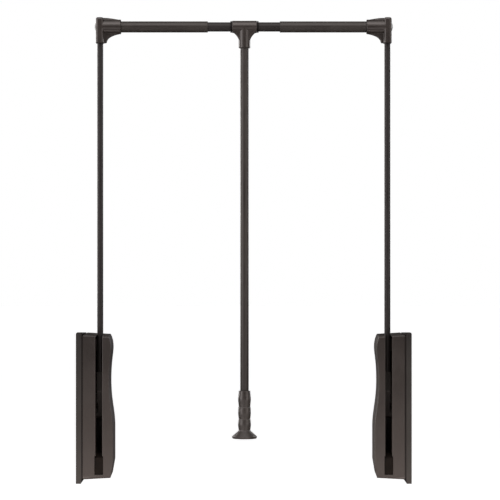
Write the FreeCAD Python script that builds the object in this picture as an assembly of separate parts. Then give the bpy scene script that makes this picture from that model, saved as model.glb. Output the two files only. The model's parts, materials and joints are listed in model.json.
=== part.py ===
"""Pull down closet rod: two wall housings, swinging arms, a telescopic rod and a pull pole.

Millimetres. Origin: centre of the left wall plate's screw pattern, on the face that meets the wall.
+X runs from the left wall to the right wall, +Y to the back of the closet, +Z up.
The left side is modelled, and the right side is its mirror image about the middle of the closet.
"""
import FreeCAD, Part
import math
import os

V = FreeCAD.Vector

# ---------------------------------------------------------------- driving dimensions
# closet and rod
CLOSET_WIDTH = 660.0
ROD_HEIGHT = 902.4            # rod axis above the bottom of the wall plates
TELESCOPE_TRAVEL = 114.0      # how far each side can still be pulled out
TELESCOPE_GRIP = 36.0         # overlap of the tubes that is left when a side is pulled out
OVER = 1.0                    # how far a tool reaches past a face, and a joined piece into its carrier
OUTER_TUBE_D = 22.0
INNER_TUBE_D = 18.4
TUBE_WALL = 1.2
ROD_GAP_HALF = 71.6           # middle of the closet to the mouth of an outer tube
GUIDE_LENGTH = 30.0

# wall plate
PLATE_HEIGHT = 293.0
PLATE_DEPTH = 120.0
PLATE_THICK = 11.5
PLATE_WALL = 3.0
PLATE_CORNER_R = 1.5
PLATE_TOP_RISE = 4.9           # the plate's top rises this much from the back to the front
PLATE_TOP_ROUND = 4.0
PLATE_TOE_IN = 2.0            # chamfer at the foot of the plate's inner face
PLATE_TOE_UP = 5.0
WALL_HOLE_R = 2.75
WALL_HOLE_SPAN_Y = 64.0
WALL_HOLE_SPAN_Z = 224.0
PLATE_BOSS_R = 6.0
WALL_HOLE_RIM = 2.0
PLATE_SCREW_FROM_EDGE = 14.0
PLATE_SCREW_FROM_END = 52.0

# housing
SHELL_WALL = 2.5
HOUSING_LIFT = 8.2            # bottom of the housing above the bottom of the plate
HOUSING_DRAFT_DEG = 3.3       # fall of the top and rise of the bottom towards the closet
SHADOW_GAP = 2.7              # recessed band between the plate and the housing
SHADOW_DEPTH = 2.0
COVER_WIDE = 73.0             # widest reach of the cover from the wall, at its front
COVER_WAIST = 65.0
COVER_SHOULDER = 69.5
COVER_TOP = 63.7
COVER_FOOT = 68.0
COVER_DRAFT_DEG = 1.3         # the cover narrows towards the back
HIP_HEIGHT = 39.8             # places of the wave: above the bottom of the plate
BELLY_HEIGHT = 104.0
WAIST_BELOW_TOP = 88.5        # below the top of the plate
SHOULDER_BELOW_TOP = 28.0
BELLY_FADE = (0.2388, 1.4)    # share of the way from belly to waist, and how far in from the belly
WAIST_ENTRY = (0.5672, 2.1)   # the same way, and how far out from the waist
SHOULDER_ENTRY = (0.6033, 2.2)     # share of the way from waist to shoulder, and how far in
COVER_EDGE_R = 2.0
HOUSING_EDGE_R = 0.8
TOP_EDGE_R = 4.0              # round-over of the housing's top towards the front
FOOT_BEVEL_HEIGHT = 7.0
FOOT_BEVEL_DEPTH = 4.0
SLOT_WIDTH = 13.0
SLOT_LIP_DEPTH = 14.0         # how far the slot's lips reach back into the housing
SLOT_EDGE_R = 2.2
SLOT_LIP_BELOW_TOP = 8.0
ROOF_SLOT_DEPTH = 15.0        # height of the gap in the top, behind the slot
ROOF_SLOT_CLEAR = 3.0         # room behind the arm in that gap
BUMPER_BOX_WIDTH = 17.0
BUMPER_BOX_TOP = 54.4         # above the bottom of the plate
BUMPER_BOX_BOTTOM = 17.7
BUMPER_DEPTH = 18.0
BUMPER_INSET = 0.8            # behind the front face
SHELF_MARGIN = 3.0            # ledge under the bumper, behind it
SHELF_REACH_OUT = 6.0         # the same ledge, past the bumper to the wall side
SHELF_REACH_IN = 4.0
PAD_BELOW_TOP = 12.0
PAD_HEIGHT = 18.0
PAD_THICK = 6.0
PAD_SIDE = 1.0                # narrower than the lever at each side
PAD_WEB_BELOW = 4.0
PAD_WEB_ABOVE = 2.0
POST_R = 5.0
POST_FROM_BACK = 10.0
POST_FROM_TOP = 22.0
POST_SPACING = 62.0           # from the top post to the one below it
POST_FROM_FOOT = 25.0
POST_FROM_FRONT = 34.0
POST_SCREW_GRIP = 20.0
POST_HOLE_EXTRA = 2.0
SCREW_R = 2.0
SCREW_HEAD_R = 3.8
SCREW_HEAD_H = 2.4
SCREW_HEAD_SUNK = 1.0
SCREW_RECESS_R = 1.6
SCREW_RECESS_DEPTH = 1.2

# arm, lever and pivot
ARM_D = 12.0
ARM_FROM_WALL = 45.0
ARM_BEHIND_FRONT = 42.0
PIVOT_FROM_BACK = 43.0        # room for the cam behind the pivot
PIVOT_HEIGHT = 135.7          # above the bottom of the plate
SWING_DEG = 117.0
LEVER_THICK = 12.0
LEVER_SHOULDER = 82.0         # top of the lever above the pivot, where the arm tube starts
LEVER_KNEE = 46.0             # bend of the lever above the pivot
SPIGOT_LENGTH = 40.0
PIN_R = 5.0
BUSH_WALL = 1.5
BUSH_FLANGE = 1.2
HUB_R = 12.5
BOSS_R = 9.0
RUNNING = 0.05                # radial clearance of a turning or sliding fit
GAP = 0.3                     # clearance between pieces that pass each other

# gas strut and cam
LIFT_PER_RAD = 11.5
CAM_THICK = 8.0
CAM_BELLY = 3.0               # thickness of the cam's lower edge round the hub
CAM_OVERRUN = 0.06            # radians that the cam's path runs on at both ends
CAM_STEPS = 12
CAM_START_R = 23.0            # pivot to roller centre with the arm upright
ROLLER_R = 9.0
ROLLER_PIN_R = 2.5
STRUT_FROM_WALL = 28.0
STRUT_R = 9.0
STRUT_WALL = 1.5
STRUT_ROD_R = 4.0
STRUT_BOTTOM = 66.0           # above the pivot
PISTON_H = 6.0
PISTON_START = 1.0            # above the gland with the arm upright
GLAND = 5.0
STRUT_NECK = 8.0
SADDLE_UP = 6.0               # saddle above the foot of the cylinder
SADDLE_HEIGHT = 8.0
SADDLE_MARGIN = 5.0
FORK_CHEEK = 4.5
FORK_HALF_DEPTH = 6.0
FORK_ABOVE_ROLLER = 5.0
FORK_BRIDGE = 4.0
FORK_SINK = 3.0
EYE_R = 6.5
ANCHOR_R = 3.0
ANCHOR_HEAD_R = 4.5
ANCHOR_HEAD_H = 1.8
ANCHOR_SEAT = 5.0             # depth of the anchor's hole short of the cam's plane
EYE_ABOVE = 8.0               # anchor pin above the top of the cylinder
ANCHOR_BELOW_TOP = 15.3       # anchor pin below the top of the wall plate
HEX_FLATS = 19.0

# elbow
SLEEVE_R = 14.5
SLEEVE_END = 86.3             # from the wall
ELBOW_WIDE = 15.5
ELBOW_DEEP = 29.6             # a little deeper than the sleeve is thick
ELBOW_OUTER = 36.9            # outer face from the wall
ELBOW_CORNER_R = 5.0
ELBOW_BELOW = 32.3            # bottom of the arm socket below the rod axis
ELBOW_ABOVE = 18.2
ELBOW_ROOF = 6.0              # thickness over the top of the arm
ELBOW_TOP_R = 4.0
ELBOW_WEB = 10.0
ELBOW_TOE = 5.7               # reach of the web's foot past the socket
ELBOW_TOE_UP = 2.0
ELBOW_CURVE = ((2.4, 24.6), (10.2, 18.9), (18.1, 16.0))   # past the toe, below the rod axis
ELBOW_RIDGE = ((0.0, 18.1), (15.4, 17.6), (23.4, 16.5))   # past the arm, above the rod axis
ELBOW_RIDGE_SHORT = 6.0       # end of the ridge before the end of the sleeve
ELBOW_RIDGE_SIDE = 1.0
SLEEVE_CHAMFER = 0.8
END_CAP_R = 9.5
END_CAP_DOME = 2.7
END_CAP_LEDGE = 3.0
END_CAP_SPIGOT = 0.8
SET_SCREW_R = 2.5
SET_SCREW_LENGTH = 3.0
SET_SCREW_RECESS_R = 1.25
SET_SCREW_BELOW_ROD = 22.0    # set screw on the arm
SET_SCREW_ALONG = 20.0        # set screw on the rod, from the end of the tube

# T bracket, pole and grip
TEE_ASIDE = 1.4               # the T bracket hangs this far to the right of the middle
TEE_HALF = 24.6
TEE_R = 12.2
TEE_SOCKET_R = 11.6
TEE_BELOW = 42.2
TEE_WEB = 15.0
TEE_WEB_FOOT = 26.0           # foot of the web's curve below the rod axis
TEE_CURVE = ((1.2, 21.9), (3.6, 18.0), (6.9, 14.0))       # past the socket, below the rod axis
TEE_WEB_SINK = 0.4
TEE_WEB_TIP = 10.0            # tip of the web below the rod axis
TEE_CHAMFER = 0.8
TEE_SCREW_UP = 7.0
TEE_BUSH_WALL = 1.1
COLLAR_R = 11.5
COLLAR_WIDTH = 3.1
BUSH_LENGTH = 16.0
POLE_D = 16.8
POLE_SINK = 15.0              # top of the pole below the rod axis
GRIP_TOP = 180.1              # heights above the bottom of the plate
GRIP_FOOT = 85.8
POLE_END = 101.0
GRIP_MOUTH_R = 11.3
GRIP_SECTIONS = (               # height above the bottom of the plate and radius, from the top down
    ((171.8, 12.05), (163.8, 12.75), (155.9, 12.1), (148.4, 11.5)),
    ((147.6, 12.15), (141.0, 12.5), (135.5, 12.65), (130.1, 12.2), (124.2, 11.5)),
    ((123.4, 11.9), (118.2, 12.4), (113.2, 12.85), (108.0, 12.35), (102.9, 11.7)),
)
FLARE_R = 25.2
FLARE_NECK_R = 12.7
FLARE_NECK_UP = 14.5          # above the foot of the grip
FLARE_RIM = 3.4
RIM_CHAMFER = 1.5
CAP_LIP = 2.5
CAP_THICK = 2.5
GRIP_STOP = 3.0               # floor between the pole's end and the hollow

# ---------------------------------------------------------------- places worked out from them
MID_X = CLOSET_WIDTH / 2
TEE_X = MID_X + TEE_ASIDE
PLATE_FOOT_Z = -PLATE_HEIGHT / 2
PLATE_TOP_Z = PLATE_HEIGHT / 2
FRONT_Y = -PLATE_DEPTH / 2
BACK_Y = PLATE_DEPTH / 2
HOUSING_FOOT_Z = PLATE_FOOT_Z + HOUSING_LIFT
ARM_X = ARM_FROM_WALL
ARM_Y = FRONT_Y + ARM_BEHIND_FRONT
ARM_R = ARM_D / 2
PIVOT_Y = BACK_Y - PIVOT_FROM_BACK
PIVOT_Z = PLATE_FOOT_Z + PIVOT_HEIGHT
ROD_Z = PLATE_FOOT_Z + ROD_HEIGHT
SLOT_X0 = ARM_X - SLOT_WIDTH / 2
SLOT_X1 = ARM_X + SLOT_WIDTH / 2
SLOT_BACK_Y = ARM_Y + ARM_R + ROOF_SLOT_CLEAR
BOX_TOP_Z = PLATE_FOOT_Z + BUMPER_BOX_TOP
BOX_FOOT_Z = PLATE_FOOT_Z + BUMPER_BOX_BOTTOM
INNER_X = PLATE_THICK + SHELL_WALL       # inside face of the outer wall
LEVER_X0 = ARM_X - LEVER_THICK / 2
LEVER_X1 = ARM_X + LEVER_THICK / 2
CAM_X0 = STRUT_FROM_WALL - CAM_THICK / 2
CAM_X1 = STRUT_FROM_WALL + CAM_THICK / 2
BUSH_OUT_X = CAM_X0 - BUSH_FLANGE
BUSH_IN_X = LEVER_X1 + BUSH_FLANGE
BUSH_R = PIN_R + RUNNING + BUSH_WALL
SHOULDER_Z = PIVOT_Z + LEVER_SHOULDER
ROLLER_Z = PIVOT_Z + CAM_START_R
OUTER_TUBE_R = OUTER_TUBE_D / 2
INNER_TUBE_R = INNER_TUBE_D / 2
TUBE_MOUTH_X = MID_X - ROD_GAP_HALF
POLE_R = POLE_D / 2
COVER_BACK_IN = PLATE_DEPTH * math.tan(math.radians(COVER_DRAFT_DEG))
PIN_END_X = COVER_WAIST - COVER_BACK_IN - SHELL_WALL
SHELF_BACK_Y = FRONT_Y + BUMPER_DEPTH + SHELF_MARGIN
PAD_Z1 = PLATE_TOP_Z - PAD_BELOW_TOP
PAD_Z0 = PAD_Z1 - PAD_HEIGHT
PAD_FRONT_Y = ARM_Y + ARM_R + GAP
WEB_Y0 = PAD_FRONT_Y + PAD_THICK
WEB_Y1 = WEB_Y0 + SHELL_WALL
CYLINDER_Z0 = PIVOT_Z + STRUT_BOTTOM
ANCHOR_Z = PLATE_TOP_Z - ANCHOR_BELOW_TOP
CYLINDER_Z1 = ANCHOR_Z - EYE_ABOVE
SADDLE_Z = CYLINDER_Z0 + SADDLE_UP
FORK_TOP_Z = ROLLER_Z + ROLLER_R + FORK_ABOVE_ROLLER
FORK_X0 = CAM_X0 - GAP - FORK_CHEEK
FORK_X1 = CAM_X1 + GAP + FORK_CHEEK
ELBOW_FOOT_Z = ROD_Z - ELBOW_BELOW
ARM_TOP_Z = ROD_Z + ELBOW_ABOVE - ELBOW_ROOF
TUBE_SEAT_X = ELBOW_OUTER + ELBOW_WIDE
TEE_BUSH_R = INNER_TUBE_R + TEE_BUSH_WALL
TEE_FOOT_Z = ROD_Z - TEE_BELOW
POLE_TOP_Z = ROD_Z - POLE_SINK
GRIP_TOP_Z = PLATE_FOOT_Z + GRIP_TOP
GRIP_FOOT_Z = PLATE_FOOT_Z + GRIP_FOOT
POLE_END_Z = PLATE_FOOT_Z + POLE_END
HOLLOW_WIDE_R = FLARE_R - CAP_LIP
HOLLOW_NARROW_R = FLARE_NECK_R - CAP_LIP
HOLLOW_HEIGHT = POLE_END_Z - GRIP_FOOT_Z - GRIP_STOP
WALL_HOLES = [
    (sy * WALL_HOLE_SPAN_Y / 2, sz * WALL_HOLE_SPAN_Z / 2) for sy in (-1, 1) for sz in (-1, 1)
]
PLATE_SCREWS = [
    (sy * (BACK_Y - PLATE_SCREW_FROM_EDGE), sz * (PLATE_TOP_Z - PLATE_SCREW_FROM_END))
    for sy in (-1, 1)
    for sz in (-1, 1)
]
COVER_POSTS = [
    (BACK_Y - POST_FROM_BACK, PLATE_TOP_Z - POST_FROM_TOP),
    (BACK_Y - POST_FROM_BACK, PLATE_TOP_Z - POST_FROM_TOP - POST_SPACING),
    (BACK_Y - POST_FROM_BACK, PLATE_FOOT_Z + POST_FROM_FOOT),
    (FRONT_Y + POST_FROM_FRONT, PLATE_FOOT_Z + POST_FROM_FOOT),
]
TEE_SCREW = (TEE_X, ARM_Y + POLE_R, TEE_FOOT_Z + TEE_SCREW_UP)
SET_SCREWS = [
    (ARM_X, ARM_Y + ARM_R, ROD_Z - SET_SCREW_BELOW_ROD),
    (TUBE_SEAT_X + SET_SCREW_ALONG, ARM_Y + OUTER_TUBE_R, ROD_Z),
]


# ---------------------------------------------------------------- shape helpers
def block(x0, x1, y0, y1, z0, z1):
    return Part.makeBox(x1 - x0, y1 - y0, z1 - z0, V(x0, y0, z0))


def bar_x(x0, x1, y, z, r):
    """Round bar along X."""
    return Part.makeCylinder(r, x1 - x0, V(x0, y, z), V(1, 0, 0))


def bar_y(y0, y1, x, z, r):
    """Round bar along Y."""
    return Part.makeCylinder(r, y1 - y0, V(x, y0, z), V(0, 1, 0))


def bar_z(z0, z1, x, y, r):
    """Round bar along Z."""
    return Part.makeCylinder(r, z1 - z0, V(x, y, z0), V(0, 0, 1))


def join(first, *others):
    """One clean solid from pieces that touch."""
    shape = first
    for other in others:
        shape = shape.fuse(other)
    return shape.removeSplitter()


def cut(shape, *tools):
    for tool in tools:
        shape = shape.cut(tool)
    return shape


def group(shapes):
    """Separate solids that share a node, such as screws of one kind."""
    return Part.makeCompound(shapes)


def plate_yz(points, x0, x1):
    """A flat plate of this outline in Y and Z, from x0 to x1."""
    wire = Part.makePolygon([V(x0, y, z) for y, z in points + points[:1]])
    return Part.Face(wire).extrude(V(x1 - x0, 0, 0))


def plate_xz(points, y0, y1):
    """A flat plate of this outline in X and Z, from y0 to y1."""
    wire = Part.makePolygon([V(x, y0, z) for x, z in points + points[:1]])
    return Part.Face(wire).extrude(V(0, y1 - y0, 0))


def curve(points):
    """A smooth edge through these points."""
    spline = Part.BSplineCurve()
    spline.interpolate([V(*p) for p in points])
    return spline.toShape()


def line(a, b):
    return Part.makeLine(V(*a), V(*b))


def upright_block(x0, x1, y0, y1, z0, z1, corner_r):
    """A block whose four upright edges are rounded."""
    shape = block(x0, x1, y0, y1, z0, z1)
    edges = [e for e in shape.Edges if abs(e.tangentAt(e.FirstParameter).z) > 0.99]
    return shape.makeFillet(corner_r, edges)


def ends_eased(bar, size):
    """A round bar with a small chamfer at both ends."""
    return bar.makeChamfer(size, [e for e in bar.Edges if e.isClosed() and len(e.Vertexes) == 1])


def edge_waste(x, y, side, z0, z1, r):
    """What a round-over takes off the front edge at x, where side is -1 or 1 towards the solid."""
    corner = block(min(x, x + side * r), max(x, x + side * r), y, y + r, z0, z1)
    return corner.cut(bar_z(z0, z1, x + side * r, y + r, r))


def link(y0, z0, r0, y1, z1, r1, x0, x1):
    """A bar between two round ends, in the plane of Y and Z."""
    run = math.hypot(y1 - y0, z1 - z0)
    lean = math.acos((r0 - r1) / run)
    course = math.atan2(z1 - z0, y1 - y0)
    corners = []
    for turn in (course + lean, course - lean):
        corners.append((math.cos(turn), math.sin(turn)))
    left, right = corners
    points = [
        (y0 + r0 * left[0], z0 + r0 * left[1]),
        (y1 + r1 * left[0], z1 + r1 * left[1]),
        (y1 + r1 * right[0], z1 + r1 * right[1]),
        (y0 + r0 * right[0], z0 + r0 * right[1]),
    ]
    return join(plate_yz(points, x0, x1), bar_x(x0, x1, y0, z0, r0), bar_x(x0, x1, y1, z1, r1))


# ---------------------------------------------------------------- wall plate
def top_corner(front_top_z):
    """What the round-over takes off along the sloping top of the plate, on the wall side."""
    y0, y1 = FRONT_Y - OVER, BACK_Y + OVER
    z = front_top_z - PLATE_TOP_ROUND
    corner = block(0, PLATE_TOP_ROUND, y0, y1, z, front_top_z)
    corner = corner.cut(bar_y(y0, y1, PLATE_TOP_ROUND, z, PLATE_TOP_ROUND))
    fall = math.degrees(math.atan2(PLATE_TOP_RISE, PLATE_DEPTH))
    corner.rotate(V(0, FRONT_Y, front_top_z), V(1, 0, 0), -fall)
    return corner


def wall_plate():
    """A tray, open towards the housing, with its floor on the wall."""
    front_top_z = PLATE_TOP_Z + PLATE_TOP_RISE
    side = [
        (FRONT_Y, PLATE_FOOT_Z),
        (BACK_Y, PLATE_FOOT_Z),
        (BACK_Y, PLATE_TOP_Z),
        (FRONT_Y, front_top_z),
    ]
    tray = plate_yz(side, 0, PLATE_THICK)
    corners = [e for e in tray.Edges if abs(e.tangentAt(e.FirstParameter).x) > 0.99]
    tray = tray.makeFillet(PLATE_CORNER_R, corners)
    pocket = block(
        PLATE_WALL,
        PLATE_THICK,
        FRONT_Y + PLATE_WALL,
        BACK_Y - PLATE_WALL,
        HOUSING_FOOT_Z + PLATE_WALL,
        PLATE_TOP_Z - PLATE_TOP_ROUND,
    )
    tray = tray.cut(pocket)
    tray = tray.cut(top_corner(front_top_z))
    toe = [
        (PLATE_THICK, PLATE_FOOT_Z),
        (PLATE_THICK - PLATE_TOE_IN, PLATE_FOOT_Z),
        (PLATE_THICK, PLATE_FOOT_Z + PLATE_TOE_UP),
    ]
    tray = tray.cut(plate_xz(toe, FRONT_Y, BACK_Y))
    bosses = [bar_x(PLATE_WALL, PLATE_THICK, y, z, PLATE_BOSS_R) for y, z in PLATE_SCREWS]
    rim_x = PLATE_WALL + WALL_HOLE_RIM
    rings = [bar_x(PLATE_WALL, rim_x, y, z, PLATE_BOSS_R) for y, z in WALL_HOLES]
    tray = join(tray, *bosses, *rings)
    holes = [bar_x(0, rim_x, y, z, WALL_HOLE_R) for y, z in WALL_HOLES]
    threads = [bar_x(PLATE_WALL, PLATE_THICK, y, z, SCREW_R) for y, z in PLATE_SCREWS]
    return cut(tray, *holes, *threads)


# ---------------------------------------------------------------- housing
def between(a, b, share):
    return a + (b - a) * share


def cover_edge(y, inset):
    """The waved inner side of the housing at this depth, from its belly up, as points in X and Z."""
    drawn_in = inset + (y - FRONT_Y) * math.tan(math.radians(COVER_DRAFT_DEG))
    belly_z = PLATE_FOOT_Z + BELLY_HEIGHT
    waist_z = PLATE_TOP_Z - WAIST_BELOW_TOP
    shoulder_z = PLATE_TOP_Z - SHOULDER_BELOW_TOP
    fade, fade_in = BELLY_FADE
    entry, entry_out = WAIST_ENTRY
    rise, rise_in = SHOULDER_ENTRY
    wave = [
        (COVER_WIDE, belly_z),
        (COVER_WIDE - fade_in, between(belly_z, waist_z, fade)),
        (COVER_WAIST + entry_out, between(belly_z, waist_z, entry)),
        (COVER_WAIST, waist_z),
        (COVER_SHOULDER - rise_in, between(waist_z, shoulder_z, rise)),
        (COVER_SHOULDER, shoulder_z),
    ]
    top_x = COVER_TOP - drawn_in
    return [(x - drawn_in, z) for x, z in wave] + [(top_x, slope_z(top_x) - inset)]


def slope_z(x):
    """Height of the housing's sloping top at this distance from the wall."""
    return PLATE_TOP_Z - (x - PLATE_THICK) * math.tan(math.radians(HOUSING_DRAFT_DEG))


def housing_outline(y, inset):
    """The housing's front view at this depth, drawn in by inset."""
    fall = math.tan(math.radians(HOUSING_DRAFT_DEG))
    edge = cover_edge(y, inset)
    x0 = PLATE_THICK + inset
    foot, top = HOUSING_FOOT_Z + inset, slope_z(x0) - inset
    foot_x = edge[0][0] + COVER_FOOT - COVER_WIDE
    foot_z = foot + (foot_x - x0) * fall
    hip_z = PLATE_FOOT_Z + HIP_HEIGHT
    return Part.Wire([
        line((x0, y, foot), (foot_x, y, foot_z)),
        line((foot_x, y, foot_z), (edge[0][0], y, hip_z)),
        line((edge[0][0], y, hip_z), (edge[0][0], y, edge[0][1])),
        curve([(x, y, z) for x, z in edge]),
        line((edge[-1][0], y, edge[-1][1]), (x0, y, top)),
        line((x0, y, top), (x0, y, foot)),
    ])


def housing_body(inset):
    """The outer form of the housing drawn in by inset."""
    y0, y1 = FRONT_Y + inset, BACK_Y - inset
    shape = Part.makeLoft([housing_outline(y0, inset), housing_outline(y1, inset)], True, True)
    foot = HOUSING_FOOT_Z + inset
    bevel = [
        (y0, HOUSING_FOOT_Z - OVER),
        (y0 + FOOT_BEVEL_DEPTH, HOUSING_FOOT_Z - OVER),
        (y0 + FOOT_BEVEL_DEPTH, foot),
        (y0, foot + FOOT_BEVEL_HEIGHT),
    ]
    shape = shape.cut(plate_yz(bevel, 0, COVER_WIDE + OVER))
    front = [e for e in shape.Edges if is_cover_corner(e)]
    return shape.makeFillet(max(COVER_EDGE_R - inset, HOUSING_EDGE_R), front)


def housing_form():
    """The outer form with its other edges eased too, up to the side against the wall plate."""
    form = housing_body(0)
    eased = form.makeFillet(HOUSING_EDGE_R, [e for e in form.Edges if e.BoundBox.XMax > INNER_X])
    return eased.cut(top_waste())


def is_cover_corner(edge):
    """True for the long edges where the waved side meets the front and the back."""
    box = edge.BoundBox
    flat = box.YLength < OVER
    return flat and box.XMin > ARM_X and box.ZLength > HIP_HEIGHT - HOUSING_LIFT


def top_waste():
    """What a round-over takes off the front edge of the sloping top."""
    r = TOP_EDGE_R
    z0 = PLATE_TOP_Z - r
    corner = block(0, COVER_WIDE, FRONT_Y - OVER, FRONT_Y + r, z0, PLATE_TOP_Z + OVER)
    waste = corner.cut(bar_x(0, COVER_WIDE, FRONT_Y + r, z0, r))
    waste.rotate(V(PLATE_THICK, 0, PLATE_TOP_Z), V(0, 1, 0), HOUSING_DRAFT_DEG)
    return waste


def slot_tool():
    """What the arm's slot and the bumper's box take out of the front and the top."""
    y0, y1 = FRONT_Y - OVER, FRONT_Y + SLOT_LIP_DEPTH
    over_top = PLATE_TOP_Z + OVER
    slot = block(SLOT_X0, SLOT_X1, y0, y1, BOX_TOP_Z, over_top)
    roof = block(SLOT_X0, SLOT_X1, y0, SLOT_BACK_Y, PLATE_TOP_Z - ROOF_SLOT_DEPTH, over_top)
    half = BUMPER_BOX_WIDTH / 2
    box = block(ARM_X - half, ARM_X + half, y0, y1, BOX_FOOT_Z, BOX_TOP_Z)
    tools = [slot, roof, box]
    for x, side in ((SLOT_X0, -1), (SLOT_X1, 1)):
        tools.append(edge_waste(x, FRONT_Y, side, BOX_TOP_Z, over_top, SLOT_EDGE_R))
    return tools


def slot_lip(x0, x1):
    """A wall along one side of the slot, behind the rounded edge of the front face."""
    y0 = FRONT_Y + SLOT_EDGE_R
    return block(x0, x1, y0, FRONT_Y + SLOT_LIP_DEPTH, BOX_TOP_Z, PLATE_TOP_Z - SLOT_LIP_BELOW_TOP)


def housing_walls():
    return cut(housing_form().cut(housing_body(SHELL_WALL)), *slot_tool())


def shelf(x0, x1):
    """A ledge behind the foot of the slot, which the bumper stands on."""
    return block(x0, x1, FRONT_Y + OVER, SHELF_BACK_Y, BOX_FOOT_Z - SHELL_WALL, BOX_FOOT_Z)


def outer_shell():
    """The half of the housing that is screwed to the wall plate."""
    half = block(0, ARM_X, FRONT_Y - OVER, BACK_Y + OVER, PLATE_FOOT_Z, PLATE_TOP_Z + OVER)
    walls = housing_walls().common(half)
    root_x = PLATE_THICK + OVER
    posts = [bar_x(root_x, ARM_X, y, z, POST_R) for y, z in COVER_POSTS]
    boss = bar_x(root_x, BUSH_OUT_X - GAP, PIVOT_Y, PIVOT_Z, BOSS_R)
    web_x = LEVER_X1 - PAD_SIDE
    web = block(root_x, web_x, WEB_Y0, WEB_Y1, PAD_Z0 - PAD_WEB_BELOW, PAD_Z1 + PAD_WEB_ABOVE)
    anchor = bar_x(root_x, CAM_X0 - GAP, PIVOT_Y, ANCHOR_Z, EYE_R)
    box_left = ARM_X - BUMPER_BOX_WIDTH / 2
    shell = join(
        walls,
        slot_lip(SLOT_X0 - SHELL_WALL, SLOT_X0),
        shelf(box_left - SHELF_REACH_OUT, ARM_X),
        boss,
        web,
        strut_saddle(root_x),
        anchor,
        *posts,
    )
    grip_x = ARM_X - POST_SCREW_GRIP - POST_HOLE_EXTRA
    holes = [bar_x(PLATE_THICK, INNER_X, y, z, SCREW_R) for y, z in PLATE_SCREWS]
    holes += [bar_x(grip_x, ARM_X, y, z, SCREW_R) for y, z in COVER_POSTS]
    holes.append(bar_x(INNER_X, ARM_X, PIVOT_Y, PIVOT_Z, PIN_R))
    holes.append(bar_x(INNER_X, CAM_X1 + ANCHOR_SEAT, PIVOT_Y, ANCHOR_Z, ANCHOR_R))
    return cut(shell, *holes, shadow_groove())


def strut_saddle(root_x):
    """A half round cradle on the outer wall that steadies the foot of the gas strut."""
    half = STRUT_R + SADDLE_MARGIN
    z1 = SADDLE_Z + SADDLE_HEIGHT
    saddle = block(root_x, STRUT_FROM_WALL, PIVOT_Y - half, PIVOT_Y + half, SADDLE_Z, z1)
    return saddle.cut(bar_z(SADDLE_Z, z1, STRUT_FROM_WALL, PIVOT_Y, STRUT_R))


def shadow_groove():
    """A band let in round the housing beside the wall plate, at the front, the top and the foot."""
    x0, x1 = PLATE_THICK, PLATE_THICK + SHADOW_GAP
    ring = block(x0, x1, FRONT_Y - OVER, BACK_Y + OVER, PLATE_FOOT_Z, PLATE_TOP_Z + OVER)
    core = block(
        x0,
        x1,
        FRONT_Y + SHADOW_DEPTH,
        BACK_Y - SHADOW_DEPTH,
        HOUSING_FOOT_Z + SHADOW_DEPTH,
        PLATE_TOP_Z - SHADOW_DEPTH,
    )
    return ring.cut(core)


def inner_cover():
    """The waved half of the housing, screwed to the outer shell."""
    far_x = COVER_WIDE + OVER
    half = block(ARM_X, far_x, FRONT_Y - OVER, BACK_Y + OVER, PLATE_FOOT_Z, PLATE_TOP_Z + OVER)
    walls = housing_walls().common(half)
    reach = housing_body(OVER)
    posts = [bar_x(ARM_X, COVER_WIDE, y, z, POST_R).common(reach) for y, z in COVER_POSTS]
    boss = bar_x(BUSH_IN_X + GAP, COVER_WIDE, PIVOT_Y, PIVOT_Z, BOSS_R).common(reach)
    box_right = ARM_X + BUMPER_BOX_WIDTH / 2
    cover = join(
        walls,
        slot_lip(SLOT_X1, SLOT_X1 + SHELL_WALL),
        shelf(ARM_X, box_right + SHELF_REACH_IN),
        boss,
        *posts,
    )
    holes = [bar_x(ARM_X, COVER_WIDE, y, z, SCREW_R) for y, z in COVER_POSTS]
    holes += [bar_x(head_seat(z), COVER_WIDE, y, z, SCREW_HEAD_R) for y, z in COVER_POSTS]
    holes.append(bar_x(ARM_X, PIN_END_X, PIVOT_Y, PIVOT_Z, PIN_R))
    return cut(cover, *holes)


def head_seat(z):
    """Where a cover screw's head sits: just under the waved surface at this height."""
    surface = COVER_FOOT if z < PIVOT_Z else COVER_WAIST
    return surface - COVER_BACK_IN - SCREW_HEAD_H - SCREW_HEAD_SUNK


def headed_screw(x0, seat, y, z):
    """A screw along X from x0, with its head on the seat and a round recess in the head."""
    top = seat + SCREW_HEAD_H
    screw = join(bar_x(x0, seat, y, z, SCREW_R), bar_x(seat, top, y, z, SCREW_HEAD_R))
    return screw.cut(bar_x(top - SCREW_RECESS_DEPTH, top, y, z, SCREW_RECESS_R))


def cover_screws():
    return group([headed_screw(ARM_X - POST_SCREW_GRIP, head_seat(z), y, z) for y, z in COVER_POSTS])


def plate_screws():
    return group([headed_screw(PLATE_WALL + OVER, INNER_X, y, z) for y, z in PLATE_SCREWS])


# ---------------------------------------------------------------- stops
def landed_arm_z(y):
    """Height of the lower side of the lowered arm at this depth."""
    down = math.radians(SWING_DEG - 90.0)
    drop = (PIVOT_Y - ARM_Y + ARM_R) / math.cos(down)
    return PIVOT_Z - drop - (PIVOT_Y - y) * math.tan(down)


def arm_bumper():
    """The rubber block at the foot of the slot, cut to the slope of the lowered arm."""
    y0 = FRONT_Y + BUMPER_INSET
    y1 = y0 + BUMPER_DEPTH
    outline = [
        (y0, BOX_FOOT_Z),
        (y1, BOX_FOOT_Z),
        (y1, landed_arm_z(y1) - GAP),
        (y0, landed_arm_z(y0) - GAP),
    ]
    half = BUMPER_BOX_WIDTH / 2 - GAP
    base = plate_yz(outline, ARM_X - half, ARM_X + half)
    base = base.cut(block(0, COVER_WIDE, FRONT_Y, BACK_Y, BOX_TOP_Z - GAP, PLATE_TOP_Z))
    ridge = plate_yz(outline, SLOT_X0 + GAP, SLOT_X1 - GAP)
    return join(base, ridge)


def rest_pad():
    """The rubber pad behind the upright arm."""
    return block(LEVER_X0 + PAD_SIDE, LEVER_X1 - PAD_SIDE, PAD_FRONT_Y, WEB_Y0, PAD_Z0, PAD_Z1)


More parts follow.
